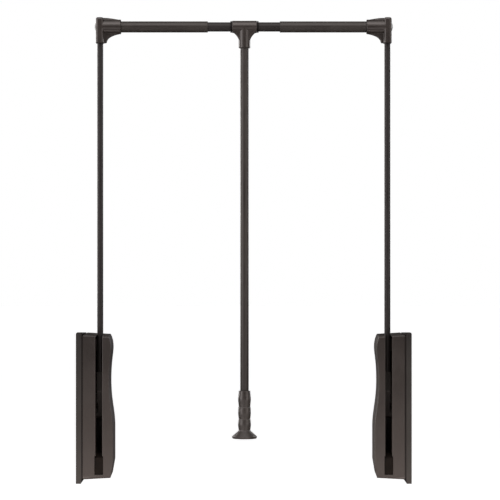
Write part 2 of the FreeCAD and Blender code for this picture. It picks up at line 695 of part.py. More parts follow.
# ---------------------------------------------------------------- lever, cam and pivot
def pivot_pin():
    return bar_x(INNER_X, PIN_END_X, PIVOT_Y, PIVOT_Z, PIN_R)


def hexagon(x0, x1, flats):
    r = flats / math.sqrt(3)
    points = []
    for side in range(6):
        turn = math.radians(60 * side)
        points.append((PIVOT_Y + r * math.cos(turn), PIVOT_Z + r * math.sin(turn)))
    return plate_yz(points, x0, x1)


def lever():
    """Turns on the pivot pin and carries the arm on its spigot."""
    knee_z = PIVOT_Z + LEVER_KNEE
    body = link(PIVOT_Y, PIVOT_Z, HUB_R, ARM_Y, knee_z, ARM_R, LEVER_X0, LEVER_X1)
    post = block(LEVER_X0, LEVER_X1, ARM_Y - ARM_R, ARM_Y + ARM_R, knee_z, SHOULDER_Z)
    spigot_r = ARM_R - TUBE_WALL
    spigot = bar_z(SHOULDER_Z - OVER, SHOULDER_Z + SPIGOT_LENGTH, ARM_X, ARM_Y, spigot_r)
    hub_x = CAM_X1 + OVER
    hub = bar_x(hub_x, LEVER_X0, PIVOT_Y, PIVOT_Z, HUB_R)
    key = hexagon(CAM_X0, hub_x, HEX_FLATS)
    shape = join(body, post, spigot, hub, key)
    return shape.cut(bar_x(CAM_X0, LEVER_X1, PIVOT_Y, PIVOT_Z, BUSH_R))


def cam_point(angle, offset):
    """A point of the cam's edge: the roller's spiral path, drawn in square to itself by offset."""
    reach = CAM_START_R + LIFT_PER_RAD * angle
    out = (math.sin(angle), math.cos(angle))
    along = (math.cos(angle), -math.sin(angle))
    slope = math.hypot(reach, LIFT_PER_RAD)
    square = [(reach * out[i] - LIFT_PER_RAD * along[i]) / slope for i in (0, 1)]
    return (
        CAM_X0,
        PIVOT_Y + reach * out[0] - offset * square[0],
        PIVOT_Z + reach * out[1] - offset * square[1],
    )


def cam():
    """Lifts the strut's roller by the same amount for each degree that the arm comes down."""
    first, last = -CAM_OVERRUN, math.radians(SWING_DEG) + CAM_OVERRUN
    turns = [between(first, last, step / CAM_STEPS) for step in range(CAM_STEPS + 1)]
    path = [cam_point(turn, ROLLER_R + GAP) for turn in turns]
    nose = path[-1]
    heel = (CAM_X0, PIVOT_Y - HUB_R, PIVOT_Z)
    belly = (CAM_X0, PIVOT_Y, PIVOT_Z - HUB_R - CAM_BELLY)
    outline = Part.Wire([curve(path), line(nose, belly), line(belly, heel), line(heel, path[0])])
    disc = Part.Face(outline).extrude(V(CAM_THICK, 0, 0))
    disc = join(disc, bar_x(CAM_X0, CAM_X1, PIVOT_Y, PIVOT_Z, HUB_R))
    return disc.cut(hexagon(CAM_X0, CAM_X1, HEX_FLATS))


def pivot_bushes():
    bushes = []
    for flange0, flange1, body0, body1 in (
        (BUSH_OUT_X, CAM_X0, CAM_X0, CAM_X1),
        (LEVER_X1, BUSH_IN_X, LEVER_X0, LEVER_X1),
    ):
        flange = bar_x(flange0, flange1, PIVOT_Y, PIVOT_Z, HUB_R)
        body = bar_x(body0, body1, PIVOT_Y, PIVOT_Z, BUSH_R)
        bore = bar_x(flange0, body1, PIVOT_Y, PIVOT_Z, PIN_R + RUNNING)
        if flange0 > body0:
            bore = bar_x(body0, flange1, PIVOT_Y, PIVOT_Z, PIN_R + RUNNING)
        bushes.append(join(flange, body).cut(bore))
    return group(bushes)


# ---------------------------------------------------------------- gas strut
def strut_cylinder():
    """Gas spring barrel with its gland below and its eye above."""
    barrel = bar_z(CYLINDER_Z0, CYLINDER_Z1, STRUT_FROM_WALL, PIVOT_Y, STRUT_R)
    eye = bar_x(CAM_X0, CAM_X1, PIVOT_Y, ANCHOR_Z, EYE_R)
    half = STRUT_NECK / 2
    neck = block(CAM_X0, CAM_X1, PIVOT_Y - half, PIVOT_Y + half, CYLINDER_Z1 - OVER, ANCHOR_Z)
    chamber = bar_z(
        CYLINDER_Z0 + GLAND, CYLINDER_Z1 - GLAND, STRUT_FROM_WALL, PIVOT_Y, STRUT_R - STRUT_WALL
    )
    gland = bar_z(CYLINDER_Z0, CYLINDER_Z0 + GLAND, STRUT_FROM_WALL, PIVOT_Y, STRUT_ROD_R + RUNNING)
    pin_hole = bar_x(CAM_X0, CAM_X1, PIVOT_Y, ANCHOR_Z, ANCHOR_R)
    return cut(join(barrel, eye, neck), chamber, gland, pin_hole)


def strut_anchor():
    """Headed pin that holds the strut's eye to the outer shell."""
    head_x = CAM_X1 + GAP
    pin = bar_x(INNER_X, head_x, PIVOT_Y, ANCHOR_Z, ANCHOR_R)
    return join(pin, bar_x(head_x, head_x + ANCHOR_HEAD_H, PIVOT_Y, ANCHOR_Z, ANCHOR_HEAD_R))


def strut_rod():
    """Rod with its piston, screwed into the fork."""
    piston_z = CYLINDER_Z0 + GLAND + PISTON_START
    rod = bar_z(FORK_TOP_Z - FORK_SINK, piston_z + PISTON_H, STRUT_FROM_WALL, PIVOT_Y, STRUT_ROD_R)
    piston_r = STRUT_R - STRUT_WALL - RUNNING
    return join(rod, bar_z(piston_z, piston_z + PISTON_H, STRUT_FROM_WALL, PIVOT_Y, piston_r))


def strut_fork():
    """Fork that carries the roller."""
    y0, y1 = PIVOT_Y - FORK_HALF_DEPTH, PIVOT_Y + FORK_HALF_DEPTH
    body = block(FORK_X0, FORK_X1, y0, y1, ROLLER_Z, FORK_TOP_Z)
    nose = bar_x(FORK_X0, FORK_X1, PIVOT_Y, ROLLER_Z, FORK_HALF_DEPTH)
    mouth_x0, mouth_x1 = CAM_X0 - GAP, CAM_X1 + GAP
    mouth = block(
        mouth_x0,
        mouth_x1,
        y0 - OVER,
        y1 + OVER,
        ROLLER_Z - FORK_HALF_DEPTH - OVER,
        FORK_TOP_Z - FORK_BRIDGE,
    )
    pin_hole = bar_x(FORK_X0, FORK_X1, PIVOT_Y, ROLLER_Z, ROLLER_PIN_R)
    socket = bar_z(FORK_TOP_Z - FORK_SINK, FORK_TOP_Z, STRUT_FROM_WALL, PIVOT_Y, STRUT_ROD_R)
    return cut(join(body, nose), mouth, pin_hole, socket)


def cam_roller():
    wheel = bar_x(CAM_X0, CAM_X1, PIVOT_Y, ROLLER_Z, ROLLER_R)
    return wheel.cut(bar_x(CAM_X0, CAM_X1, PIVOT_Y, ROLLER_Z, ROLLER_PIN_R + RUNNING))


def roller_pin():
    return bar_x(FORK_X0, FORK_X1, PIVOT_Y, ROLLER_Z, ROLLER_PIN_R)


# ---------------------------------------------------------------- arm and elbow
def arm_tube():
    tube = bar_z(SHOULDER_Z, ARM_TOP_Z, ARM_X, ARM_Y, ARM_R)
    return tube.cut(bar_z(SHOULDER_Z, ARM_TOP_Z, ARM_X, ARM_Y, ARM_R - TUBE_WALL))


def elbow_web():
    """The curved web in the corner under the sleeve."""
    y0 = ARM_Y - ELBOW_WEB / 2
    toe_x = TUBE_SEAT_X + ELBOW_TOE
    end_x = SLEEVE_END - SLEEVE_CHAMFER
    sweep = [(toe_x, y0, ELBOW_FOOT_Z + ELBOW_TOE_UP)]
    sweep += [(toe_x + out, y0, ROD_Z - down) for out, down in ELBOW_CURVE]
    sweep.append((end_x, y0, ROD_Z - SLEEVE_R + SLEEVE_CHAMFER))
    outline = Part.Wire([
        line((ARM_X, y0, ROD_Z), (ARM_X, y0, ELBOW_FOOT_Z)),
        line((ARM_X, y0, ELBOW_FOOT_Z), (toe_x, y0, ELBOW_FOOT_Z)),
        line((toe_x, y0, ELBOW_FOOT_Z), sweep[0]),
        curve(sweep),
        line(sweep[-1], (end_x, y0, ROD_Z)),
        line((end_x, y0, ROD_Z), (ARM_X, y0, ROD_Z)),
    ])
    return Part.Face(outline).extrude(V(0, ELBOW_WEB, 0))


def elbow_ridge():
    """The low ridge that runs from the top of the socket out over the sleeve."""
    end_x = SLEEVE_END - ELBOW_RIDGE_SHORT
    half = ELBOW_WEB / 2 - ELBOW_RIDGE_SIDE
    outline = [(ARM_X, ROD_Z)]
    outline += [(ARM_X + out, ROD_Z + up) for out, up in ELBOW_RIDGE]
    outline += [(end_x, ROD_Z + SLEEVE_R), (end_x, ROD_Z)]
    return plate_xz(outline, ARM_Y - half, ARM_Y + half)


def elbow():
    """Joins the arm to the rod: an upright socket, a sleeve, a curved web and a cap seat."""
    top_z = ROD_Z + ELBOW_ABOVE
    y0, y1 = ARM_Y - ELBOW_DEEP / 2, ARM_Y + ELBOW_DEEP / 2
    post = upright_block(ELBOW_OUTER, TUBE_SEAT_X, y0, y1, ELBOW_FOOT_Z, top_z, ELBOW_CORNER_R)
    top_edges = [e for e in post.Edges if e.BoundBox.ZMin > top_z - ELBOW_TOP_R]
    post = post.makeFillet(ELBOW_TOP_R, top_edges)
    sleeve = ends_eased(bar_x(ARM_X, SLEEVE_END, ARM_Y, ROD_Z, SLEEVE_R), SLEEVE_CHAMFER)
    shape = join(post, sleeve, elbow_web(), elbow_ridge())
    arm_hole = bar_z(ELBOW_FOOT_Z, ARM_TOP_Z, ARM_X, ARM_Y, ARM_R)
    rod_hole = bar_x(TUBE_SEAT_X, SLEEVE_END, ARM_Y, ROD_Z, OUTER_TUBE_R)
    cap_hole = bar_x(ELBOW_OUTER, ARM_X - ARM_R, ARM_Y, ROD_Z, END_CAP_R - END_CAP_LEDGE)
    holes = [bar_y(y, y + SLEEVE_R, x, z, SET_SCREW_R) for x, y, z in SET_SCREWS]
    return cut(shape, arm_hole, rod_hole, cap_hole, *holes)


def set_screw(x, y, z):
    """A headless screw along Y, with a round recess in its outer end."""
    end = y + SET_SCREW_LENGTH
    screw = bar_y(y, end, x, z, SET_SCREW_R)
    return screw.cut(bar_y(y + SET_SCREW_LENGTH / 2, end, x, z, SET_SCREW_RECESS_R))


def elbow_screws():
    """Two set screws at the back: one on the arm, one on the rod."""
    return group([set_screw(*place) for place in SET_SCREWS])


def elbow_cap():
    """Domed cap over the outer end of the elbow, with a spigot that snaps into it."""
    big_r = (END_CAP_R ** 2 + END_CAP_DOME ** 2) / (2 * END_CAP_DOME)
    tip_x = ELBOW_OUTER - END_CAP_DOME
    ball = Part.makeSphere(big_r, V(tip_x + big_r, ARM_Y, ROD_Z))
    dome = ball.common(bar_x(tip_x, ELBOW_OUTER, ARM_Y, ROD_Z, END_CAP_R + OVER))
    spigot_x = ELBOW_OUTER + END_CAP_SPIGOT
    spigot = bar_x(tip_x + END_CAP_DOME / 2, spigot_x, ARM_Y, ROD_Z, END_CAP_R - END_CAP_LEDGE)
    return join(dome, spigot)


# ---------------------------------------------------------------- rod
def outer_tube():
    tube = bar_x(TUBE_SEAT_X, TUBE_MOUTH_X, ARM_Y, ROD_Z, OUTER_TUBE_R)
    return tube.cut(bar_x(TUBE_SEAT_X, TUBE_MOUTH_X, ARM_Y, ROD_Z, OUTER_TUBE_R - TUBE_WALL))


def guide_sleeve():
    """Plastic liner in the mouth of the outer tube."""
    x0 = TUBE_MOUTH_X - GUIDE_LENGTH
    liner = bar_x(x0, TUBE_MOUTH_X, ARM_Y, ROD_Z, OUTER_TUBE_R - TUBE_WALL)
    return liner.cut(bar_x(x0, TUBE_MOUTH_X, ARM_Y, ROD_Z, INNER_TUBE_R + RUNNING))


def inner_tube():
    half = ROD_GAP_HALF + TELESCOPE_TRAVEL + TELESCOPE_GRIP
    tube = bar_x(MID_X - half, MID_X + half, ARM_Y, ROD_Z, INNER_TUBE_R)
    return tube.cut(bar_x(MID_X - half, MID_X + half, ARM_Y, ROD_Z, INNER_TUBE_R - TUBE_WALL))


def rod_collars():
    """Two rings fixed on the inner tube that keep the T bracket in the middle."""
    rings = []
    for x0 in (TEE_X - TEE_HALF - GAP - COLLAR_WIDTH, TEE_X + TEE_HALF + GAP):
        ring = bar_x(x0, x0 + COLLAR_WIDTH, ARM_Y, ROD_Z, COLLAR_R)
        rings.append(ring.cut(bar_x(x0, x0 + COLLAR_WIDTH, ARM_Y, ROD_Z, INNER_TUBE_R)))
    return group(rings)


# ---------------------------------------------------------------- T bracket, pole and grip
def tee_web(side):
    """The curved web at one side of the socket, where side is -1 or 1."""
    y0 = ARM_Y - TEE_WEB / 2
    foot = ROD_Z - TEE_WEB_FOOT
    tip_x = TEE_X + side * (TEE_HALF - TEE_CHAMFER)
    sweep = [(TEE_X + side * (TEE_SOCKET_R - TEE_WEB_SINK), y0, foot)]
    sweep += [(TEE_X + side * (TEE_SOCKET_R + out), y0, ROD_Z - down) for out, down in TEE_CURVE]
    sweep.append((tip_x, y0, ROD_Z - TEE_WEB_TIP))
    outline = Part.Wire([
        line((TEE_X, y0, ROD_Z), (TEE_X, y0, foot)),
        line((TEE_X, y0, foot), sweep[0]),
        curve(sweep),
        line(sweep[-1], (tip_x, y0, ROD_Z)),
        line((tip_x, y0, ROD_Z), (TEE_X, y0, ROD_Z)),
    ])
    return Part.Face(outline).extrude(V(0, TEE_WEB, 0))


def tee_bracket():
    """Sleeve round the rod, socket for the pole, and a curved web between them."""
    x0, x1 = TEE_X - TEE_HALF, TEE_X + TEE_HALF
    sleeve = ends_eased(bar_x(x0, x1, ARM_Y, ROD_Z, TEE_R), TEE_CHAMFER)
    socket = ends_eased(bar_z(TEE_FOOT_Z, ROD_Z, TEE_X, ARM_Y, TEE_SOCKET_R), TEE_CHAMFER)
    shape = join(sleeve, socket, tee_web(-1), tee_web(1))
    rod_hole = bar_x(x0, x1, ARM_Y, ROD_Z, TEE_BUSH_R)
    pole_hole = bar_z(TEE_FOOT_Z, POLE_TOP_Z, TEE_X, ARM_Y, POLE_R)
    x, y, z = TEE_SCREW
    return cut(shape, rod_hole, pole_hole, bar_y(y, y + TEE_SOCKET_R, x, z, SET_SCREW_R))


def tee_bushes():
    """Two plain bushes pressed in the T bracket, turning on the inner tube."""
    bushes = []
    for x0 in (TEE_X - TEE_HALF, TEE_X + TEE_HALF - BUSH_LENGTH):
        ring = bar_x(x0, x0 + BUSH_LENGTH, ARM_Y, ROD_Z, TEE_BUSH_R)
        bushes.append(ring.cut(bar_x(x0, x0 + BUSH_LENGTH, ARM_Y, ROD_Z, INNER_TUBE_R + RUNNING)))
    return group(bushes)


def tee_screw():
    return set_screw(*TEE_SCREW)


def pull_pole():
    pole = bar_z(POLE_END_Z, POLE_TOP_Z, TEE_X, ARM_Y, POLE_R)
    return pole.cut(bar_z(POLE_END_Z, POLE_TOP_Z, TEE_X, ARM_Y, POLE_R - TUBE_WALL))


def hand_grip():
    """Moulded grip in three finger sections, each with a small step at its top, and a flared foot."""
    sides = [[(r, 0, PLATE_FOOT_Z + z) for z, r in section] for section in GRIP_SECTIONS]
    sides[0].insert(0, (GRIP_MOUTH_R, 0, GRIP_TOP_Z))
    edges = []
    for upper, lower in zip(sides, sides[1:]):
        edges += [curve(upper), line(upper[-1], lower[0])]
    neck = (FLARE_NECK_R, 0, GRIP_FOOT_Z + FLARE_NECK_UP)
    rim_top = (FLARE_R, 0, GRIP_FOOT_Z + FLARE_RIM)
    rim_foot = (FLARE_R - RIM_CHAMFER, 0, GRIP_FOOT_Z)
    wire = Part.Wire([
        line((0, 0, GRIP_FOOT_Z), (0, 0, GRIP_TOP_Z)),
        line((0, 0, GRIP_TOP_Z), sides[0][0]),
        *edges,
        curve(sides[-1]),
        line(sides[-1][-1], neck),
        line(neck, rim_top),
        line(rim_top, rim_foot),
        line(rim_foot, (0, 0, GRIP_FOOT_Z)),
    ])
    grip = Part.Face(wire).revolve(V(0, 0, 0), V(0, 0, 1), 360)
    grip.translate(V(TEE_X, ARM_Y, 0))
    bore = bar_z(POLE_END_Z, GRIP_TOP_Z, TEE_X, ARM_Y, POLE_R)
    hollow = Part.makeCone(HOLLOW_WIDE_R, HOLLOW_NARROW_R, HOLLOW_HEIGHT)
    hollow.translate(V(TEE_X, ARM_Y, GRIP_FOOT_Z))
    return cut(grip, bore, hollow)


def grip_cap():
    """Disc that closes the underside of the grip."""
    top_r = between(HOLLOW_WIDE_R, HOLLOW_NARROW_R, CAP_THICK / HOLLOW_HEIGHT)
    disc = Part.makeCone(HOLLOW_WIDE_R, top_r, CAP_THICK)
    disc.translate(V(TEE_X, ARM_Y, GRIP_FOOT_Z))
    return disc


# ---------------------------------------------------------------- assembly
SIDE_PIECES = {
    "wall_plate": wall_plate,
    "outer_shell": outer_shell,
    "inner_cover": inner_cover,
    "cover_screws": cover_screws,
    "plate_screws": plate_screws,
    "arm_bumper": arm_bumper,
    "rest_pad": rest_pad,
    "pivot_pin": pivot_pin,
    "pivot_bushes": pivot_bushes,
    "lever": lever,
    "cam": cam,
    "strut_cylinder": strut_cylinder,
    "strut_anchor": strut_anchor,
    "strut_rod": strut_rod,
    "strut_fork": strut_fork,
    "cam_roller": cam_roller,
    "roller_pin": roller_pin,
    "arm": arm_tube,
    "elbow": elbow,
    "elbow_screws": elbow_screws,
    "elbow_cap": elbow_cap,
    "outer_tube": outer_tube,
    "guide_sleeve": guide_sleeve,
}
MIDDLE_PIECES = {
    "inner_tube": inner_tube,
    "rod_collars": rod_collars,
    "tee_bracket": tee_bracket,
    "tee_bushes": tee_bushes,
    "tee_screw": tee_screw,
    "pull_pole": pull_pole,
    "hand_grip": hand_grip,
    "grip_cap": grip_cap,
}


def save(name, shape):
    if not shape.isValid():
        print("not valid:", name)
    shape.exportStep("parts/" + name + ".step")


def main():
    os.makedirs("parts", exist_ok=True)
    for name, make in SIDE_PIECES.items():
        left = make()
        save("left_" + name, left)
        save("right_" + name, left.mirror(V(MID_X, 0, 0), V(1, 0, 0)))
    for name, make in MIDDLE_PIECES.items():
        save(name, make())


main()
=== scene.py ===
"""Pull down closet rod in dark bronze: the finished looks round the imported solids.

Metres. +X runs from the left wall to the right wall, +Y to the back of the closet, +Z up.
"""

import json
import math

import bmesh
import bpy
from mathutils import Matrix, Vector


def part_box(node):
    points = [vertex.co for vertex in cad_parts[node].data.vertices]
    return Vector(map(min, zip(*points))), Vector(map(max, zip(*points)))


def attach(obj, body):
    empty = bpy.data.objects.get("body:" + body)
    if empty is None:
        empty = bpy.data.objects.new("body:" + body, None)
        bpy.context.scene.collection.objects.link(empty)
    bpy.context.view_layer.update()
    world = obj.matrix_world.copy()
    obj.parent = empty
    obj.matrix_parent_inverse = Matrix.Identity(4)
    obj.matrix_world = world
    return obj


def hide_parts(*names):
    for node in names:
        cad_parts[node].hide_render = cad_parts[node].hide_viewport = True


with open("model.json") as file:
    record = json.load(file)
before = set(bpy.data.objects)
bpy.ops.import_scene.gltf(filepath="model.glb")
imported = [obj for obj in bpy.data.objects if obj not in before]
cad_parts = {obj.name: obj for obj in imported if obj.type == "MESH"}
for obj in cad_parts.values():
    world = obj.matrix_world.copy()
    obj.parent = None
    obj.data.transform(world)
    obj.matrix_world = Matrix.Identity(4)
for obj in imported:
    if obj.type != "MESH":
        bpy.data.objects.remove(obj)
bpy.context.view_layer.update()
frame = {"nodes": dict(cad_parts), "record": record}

MM = 0.001
SIDES = ("left", "right")
MERGE_WITHIN = 0.002 * MM     # corners nearer than this become one
SAME_WITHIN = 0.01 * MM       # lengths nearer than this count as the same


# ---------------------------------------------------------------- node helpers
def add(tree, kind, **settings):
    """A new node with these settings."""
    made = tree.nodes.new(kind)
    for name, value in settings.items():
        setattr(made, name, value)
    return made


def feed(tree, target, source):
    """Joins an output to this input, or gives the input a plain value."""
    if isinstance(source, bpy.types.NodeSocket):
        tree.links.new(source, target)
    else:
        target.default_value = source


def maths(tree, operation, first, second=None, clamp=False):
    made = add(tree, "ShaderNodeMath", operation=operation, use_clamp=clamp)
    feed(tree, made.inputs[0], first)
    if second is not None:
        feed(tree, made.inputs[1], second)
    return made.outputs[0]


def ramp(tree, source, low, high):
    """0 below low, 1 above high, smooth between them."""
    made = add(tree, "ShaderNodeMapRange", interpolation_type="SMOOTHSTEP")
    feed(tree, made.inputs["Value"], source)
    feed(tree, made.inputs["From Min"], low)
    feed(tree, made.inputs["From Max"], high)
    return made.outputs["Result"]


def spread(tree, source, low, high):
    """A 0 to 1 mask stretched to run from low to high."""
    made = add(tree, "ShaderNodeMapRange")
    feed(tree, made.inputs["Value"], source)
    feed(tree, made.inputs["To Min"], low)
    feed(tree, made.inputs["To Max"], high)
    return made.outputs["Result"]


def tint(tree, mask, under, over):
    """One colour laid over another by a mask."""
    made = add(tree, "ShaderNodeMix", data_type="RGBA")
    feed(tree, made.inputs[0], mask)
    feed(tree, made.inputs[6], under)
    feed(tree, made.inputs[7], over)
    return made.outputs[2]


def noise(tree, place, scale, detail=3.0, rough=0.5):
    made = add(tree, "ShaderNodeTexNoise")
    feed(tree, made.inputs["Vector"], place)
    feed(tree, made.inputs["Scale"], scale)
    feed(tree, made.inputs["Detail"], detail)
    feed(tree, made.inputs["Roughness"], rough)
    return made.outputs["Fac"]


def colour(red, green, blue):
    return (red, green, blue, 1.0)


def scaled(base, factor):
    """A colour made darker or lighter by this factor."""
    return tuple(c * factor for c in base[:3]) + (1.0,)


def group_tree(name, kind, inputs, outputs):
    """An empty node group with named sockets, each given as (name, type, value)."""
    tree = bpy.data.node_groups.new(name, kind)
    for label, socket_type, value in inputs:
        socket = tree.interface.new_socket(label, in_out="INPUT", socket_type=socket_type)
        if value is not None:
            socket.default_value = value
    for label, socket_type in outputs:
        tree.interface.new_socket(label, in_out="OUTPUT", socket_type=socket_type)
    return tree, tree.nodes.new("NodeGroupInput").outputs, tree.nodes.new("NodeGroupOutput").inputs


def use_group(tree, group, **values):
    """Places a group in a material; spaces in socket names are written as underscores."""
    made = add(tree, "ShaderNodeGroup", node_tree=group)
    for name, value in values.items():
        feed(tree, made.inputs[name.replace("_", " ")], value)
    return made.outputs


# ---------------------------------------------------------------- shared effects
def coat_grain_group():
    """The fine pebble of a powder coat or a moulded skin, with broad cloudiness under it."""
    tree, given, result = group_tree(
        "coat grain",
        "ShaderNodeTree",
        [
            ("Place", "NodeSocketVector", None),
            ("Grains per metre", "NodeSocketFloat", 1800.0),
            ("Clouds per metre", "NodeSocketFloat", 16.0),
        ],
        [("Height", "NodeSocketFloat"), ("Cloud", "NodeSocketFloat")],
    )
    fine = noise(tree, given["Place"], given["Grains per metre"], 2.0, 0.6)
    pebble = add(tree, "ShaderNodeTexVoronoi", feature="SMOOTH_F1")
    feed(tree, pebble.inputs["Vector"], given["Place"])
    feed(tree, pebble.inputs["Scale"], maths(tree, "MULTIPLY", given["Grains per metre"], 0.55))
    feed(tree, pebble.inputs["Smoothness"], 0.7)
    height = maths(tree, "ADD", maths(tree, "MULTIPLY", fine, 0.6), pebble.outputs["Distance"])
    feed(tree, result["Height"], height)
    cloud = noise(tree, given["Place"], given["Clouds per metre"], 4.0, 0.55)
    feed(tree, result["Cloud"], ramp(tree, cloud, 0.3, 0.7))
    return tree


def worn_edges_group():
    """Mask of the outer edges, where the finish is rubbed thin, broken up by noise."""
    tree, given, result = group_tree(
        "worn edges",
        "ShaderNodeTree",
        [
            ("Place", "NodeSocketVector", None),
            ("Reach", "NodeSocketFloat", 0.0008),
            ("Amount", "NodeSocketFloat", 0.6),
        ],
        [("Mask", "NodeSocketFloat")],
    )
    bend = add(tree, "ShaderNodeBevel", samples=6)
    feed(tree, bend.inputs["Radius"], given["Reach"])
    here = add(tree, "ShaderNodeNewGeometry")
    facing = add(tree, "ShaderNodeVectorMath", operation="DOT_PRODUCT")
    feed(tree, facing.inputs[0], bend.outputs["Normal"])
    feed(tree, facing.inputs[1], here.outputs["Normal"])
    turned_away = maths(tree, "SUBTRACT", 1.0, facing.outputs["Value"], clamp=True)
    edge = ramp(tree, turned_away, 0.02, 0.22)
    broken = ramp(tree, noise(tree, given["Place"], 140.0, 5.0, 0.65), 0.38, 0.62)
    worn = maths(tree, "MULTIPLY", edge, maths(tree, "ADD", maths(tree, "MULTIPLY", broken, 0.6), 0.4))
    feed(tree, result["Mask"], maths(tree, "MULTIPLY", worn, given["Amount"], clamp=True))
    return tree


def settled_dust_group():
    """Mask of the faces that look up, where a little dust lies."""
    tree, given, result = group_tree(
        "settled dust",
        "ShaderNodeTree",
        [("Place", "NodeSocketVector", None), ("Amount", "NodeSocketFloat", 0.1)],
        [("Mask", "NodeSocketFloat")],
    )
    here = add(tree, "ShaderNodeNewGeometry")
    split = add(tree, "ShaderNodeSeparateXYZ")
    feed(tree, split.inputs[0], here.outputs["Normal"])
    level = ramp(tree, split.outputs["Z"], 0.55, 1.0)
    patches = ramp(tree, noise(tree, given["Place"], 60.0, 6.0, 0.7), 0.35, 0.75)
    settled = maths(tree, "MULTIPLY", level, patches)
    feed(tree, result["Mask"], maths(tree, "MULTIPLY", settled, given["Amount"]))
    return tree


def drawn_lines_group():
    """Long faint lines left by drawing or turning, which run along or round the piece."""
    tree, given, result = group_tree(
        "drawn lines",
        "ShaderNodeTree",
        [("Place", "NodeSocketVector", None), ("Stretch", "NodeSocketVector", (1.0, 1.0, 1.0))],
        [("Line", "NodeSocketFloat")],
    )
    stretched = add(tree, "ShaderNodeVectorMath", operation="MULTIPLY")
    feed(tree, stretched.inputs[0], given["Place"])
    feed(tree, stretched.inputs[1], given["Stretch"])
    feed(tree, result["Line"], noise(tree, stretched.outputs["Vector"], 1.0, 3.0, 0.6))
    return tree


def painted_foot_light_group():
    """Mask of painted light that grows from the top of a wall housing to its foot, a little uneven,
    standing in for light thrown up from the floor.
    """
    tree, given, result = group_tree(
        "foot fade",
        "ShaderNodeTree",
        [
            ("Place", "NodeSocketVector", None),
            ("Full below", "NodeSocketFloat", -0.15),
            ("None above", "NodeSocketFloat", 0.15),
        ],
        [("Mask", "NodeSocketFloat")],
    )
    split = add(tree, "ShaderNodeSeparateXYZ")
    feed(tree, split.inputs[0], given["Place"])
    uneven = maths(tree, "MULTIPLY", maths(tree, "SUBTRACT", noise(tree, given["Place"], 22.0), 0.5), 0.05)
    height = maths(tree, "ADD", split.outputs["Z"], uneven)
    risen = maths(tree, "DIVIDE", maths(tree, "SUBTRACT", height, given["Full below"]),
                  maths(tree, "SUBTRACT", given["None above"], given["Full below"]), clamp=True)
    feed(tree, result["Mask"], maths(tree, "SUBTRACT", 1.0, risen))
    return tree


def wall_gap_group():
    """Mask of the narrow gap where a wall housing meets its plate, where shade is painted in."""
    tree, given, result = group_tree(
        "wall gap",
        "ShaderNodeTree",
        [
            ("Place", "NodeSocketVector", None),
            ("Middle", "NodeSocketFloat", 0.330),
            ("From middle", "NodeSocketFloat", 0.3181),
            ("Half width", "NodeSocketFloat", 0.0006),
            ("Blur", "NodeSocketFloat", 0.0016),
        ],
        [("Mask", "NodeSocketFloat")],
    )
    split = add(tree, "ShaderNodeSeparateXYZ")
    feed(tree, split.inputs[0], given["Place"])
    aside = maths(tree, "ABSOLUTE", maths(tree, "SUBTRACT", split.outputs["X"], given["Middle"]))
    off = maths(tree, "ABSOLUTE", maths(tree, "SUBTRACT", aside, given["From middle"]))
    outside = maths(tree, "DIVIDE", maths(tree, "SUBTRACT", off, given["Half width"]), given["Blur"],
                    clamp=True)
    feed(tree, result["Mask"], maths(tree, "SUBTRACT", 1.0, outside))
    return tree


COAT_GRAIN = coat_grain_group()
WORN_EDGES = worn_edges_group()
SETTLED_DUST = settled_dust_group()
DRAWN_LINES = drawn_lines_group()
PAINTED_FOOT_LIGHT = painted_foot_light_group()
WALL_GAP = wall_gap_group()
DUST = colour(0.16, 0.145, 0.13)
# painted shade laid in the gap where a housing meets its plate
GAP_SHADE = colour(0.012, 0.009, 0.008)
WARM_GLOSS = colour(1.0, 0.905, 0.88)
DUST_AMOUNT = 0.18
DUST_ROUGHER = 0.6            # added to the roughness where dust lies
WORN_SMOOTHER = 0.1           # taken off the roughness at rubbed edges
CLOUD_SMOOTHER = 0.04         # how far the clouds move the roughness down and up
CLOUD_ROUGHER = 0.05
GAP_GLOSS = 0.5               # share of the gloss that is left in the gap, as part of its painted shade


# ---------------------------------------------------------------- finishes
def blank_finish(name):
    """A new material with its shader and the piece's own coordinates."""
    finish = bpy.data.materials.new(name)
    finish.use_nodes = True
    tree = finish.node_tree
    tree.nodes.clear()
    out = add(tree, "ShaderNodeOutputMaterial")
    shader = add(tree, "ShaderNodeBsdfPrincipled")
    tree.links.new(shader.outputs[0], out.inputs["Surface"])
    place = add(tree, "ShaderNodeTexCoord").outputs["Object"]
    return finish, tree, shader, place


def set_bump(tree, shader, height, strength, distance):
    bump = add(tree, "ShaderNodeBump")
    feed(tree, bump.inputs["Strength"], strength)
    feed(tree, bump.inputs["Distance"], distance)
    feed(tree, bump.inputs["Height"], height)
    feed(tree, shader.inputs["Normal"], bump.outputs["Normal"])


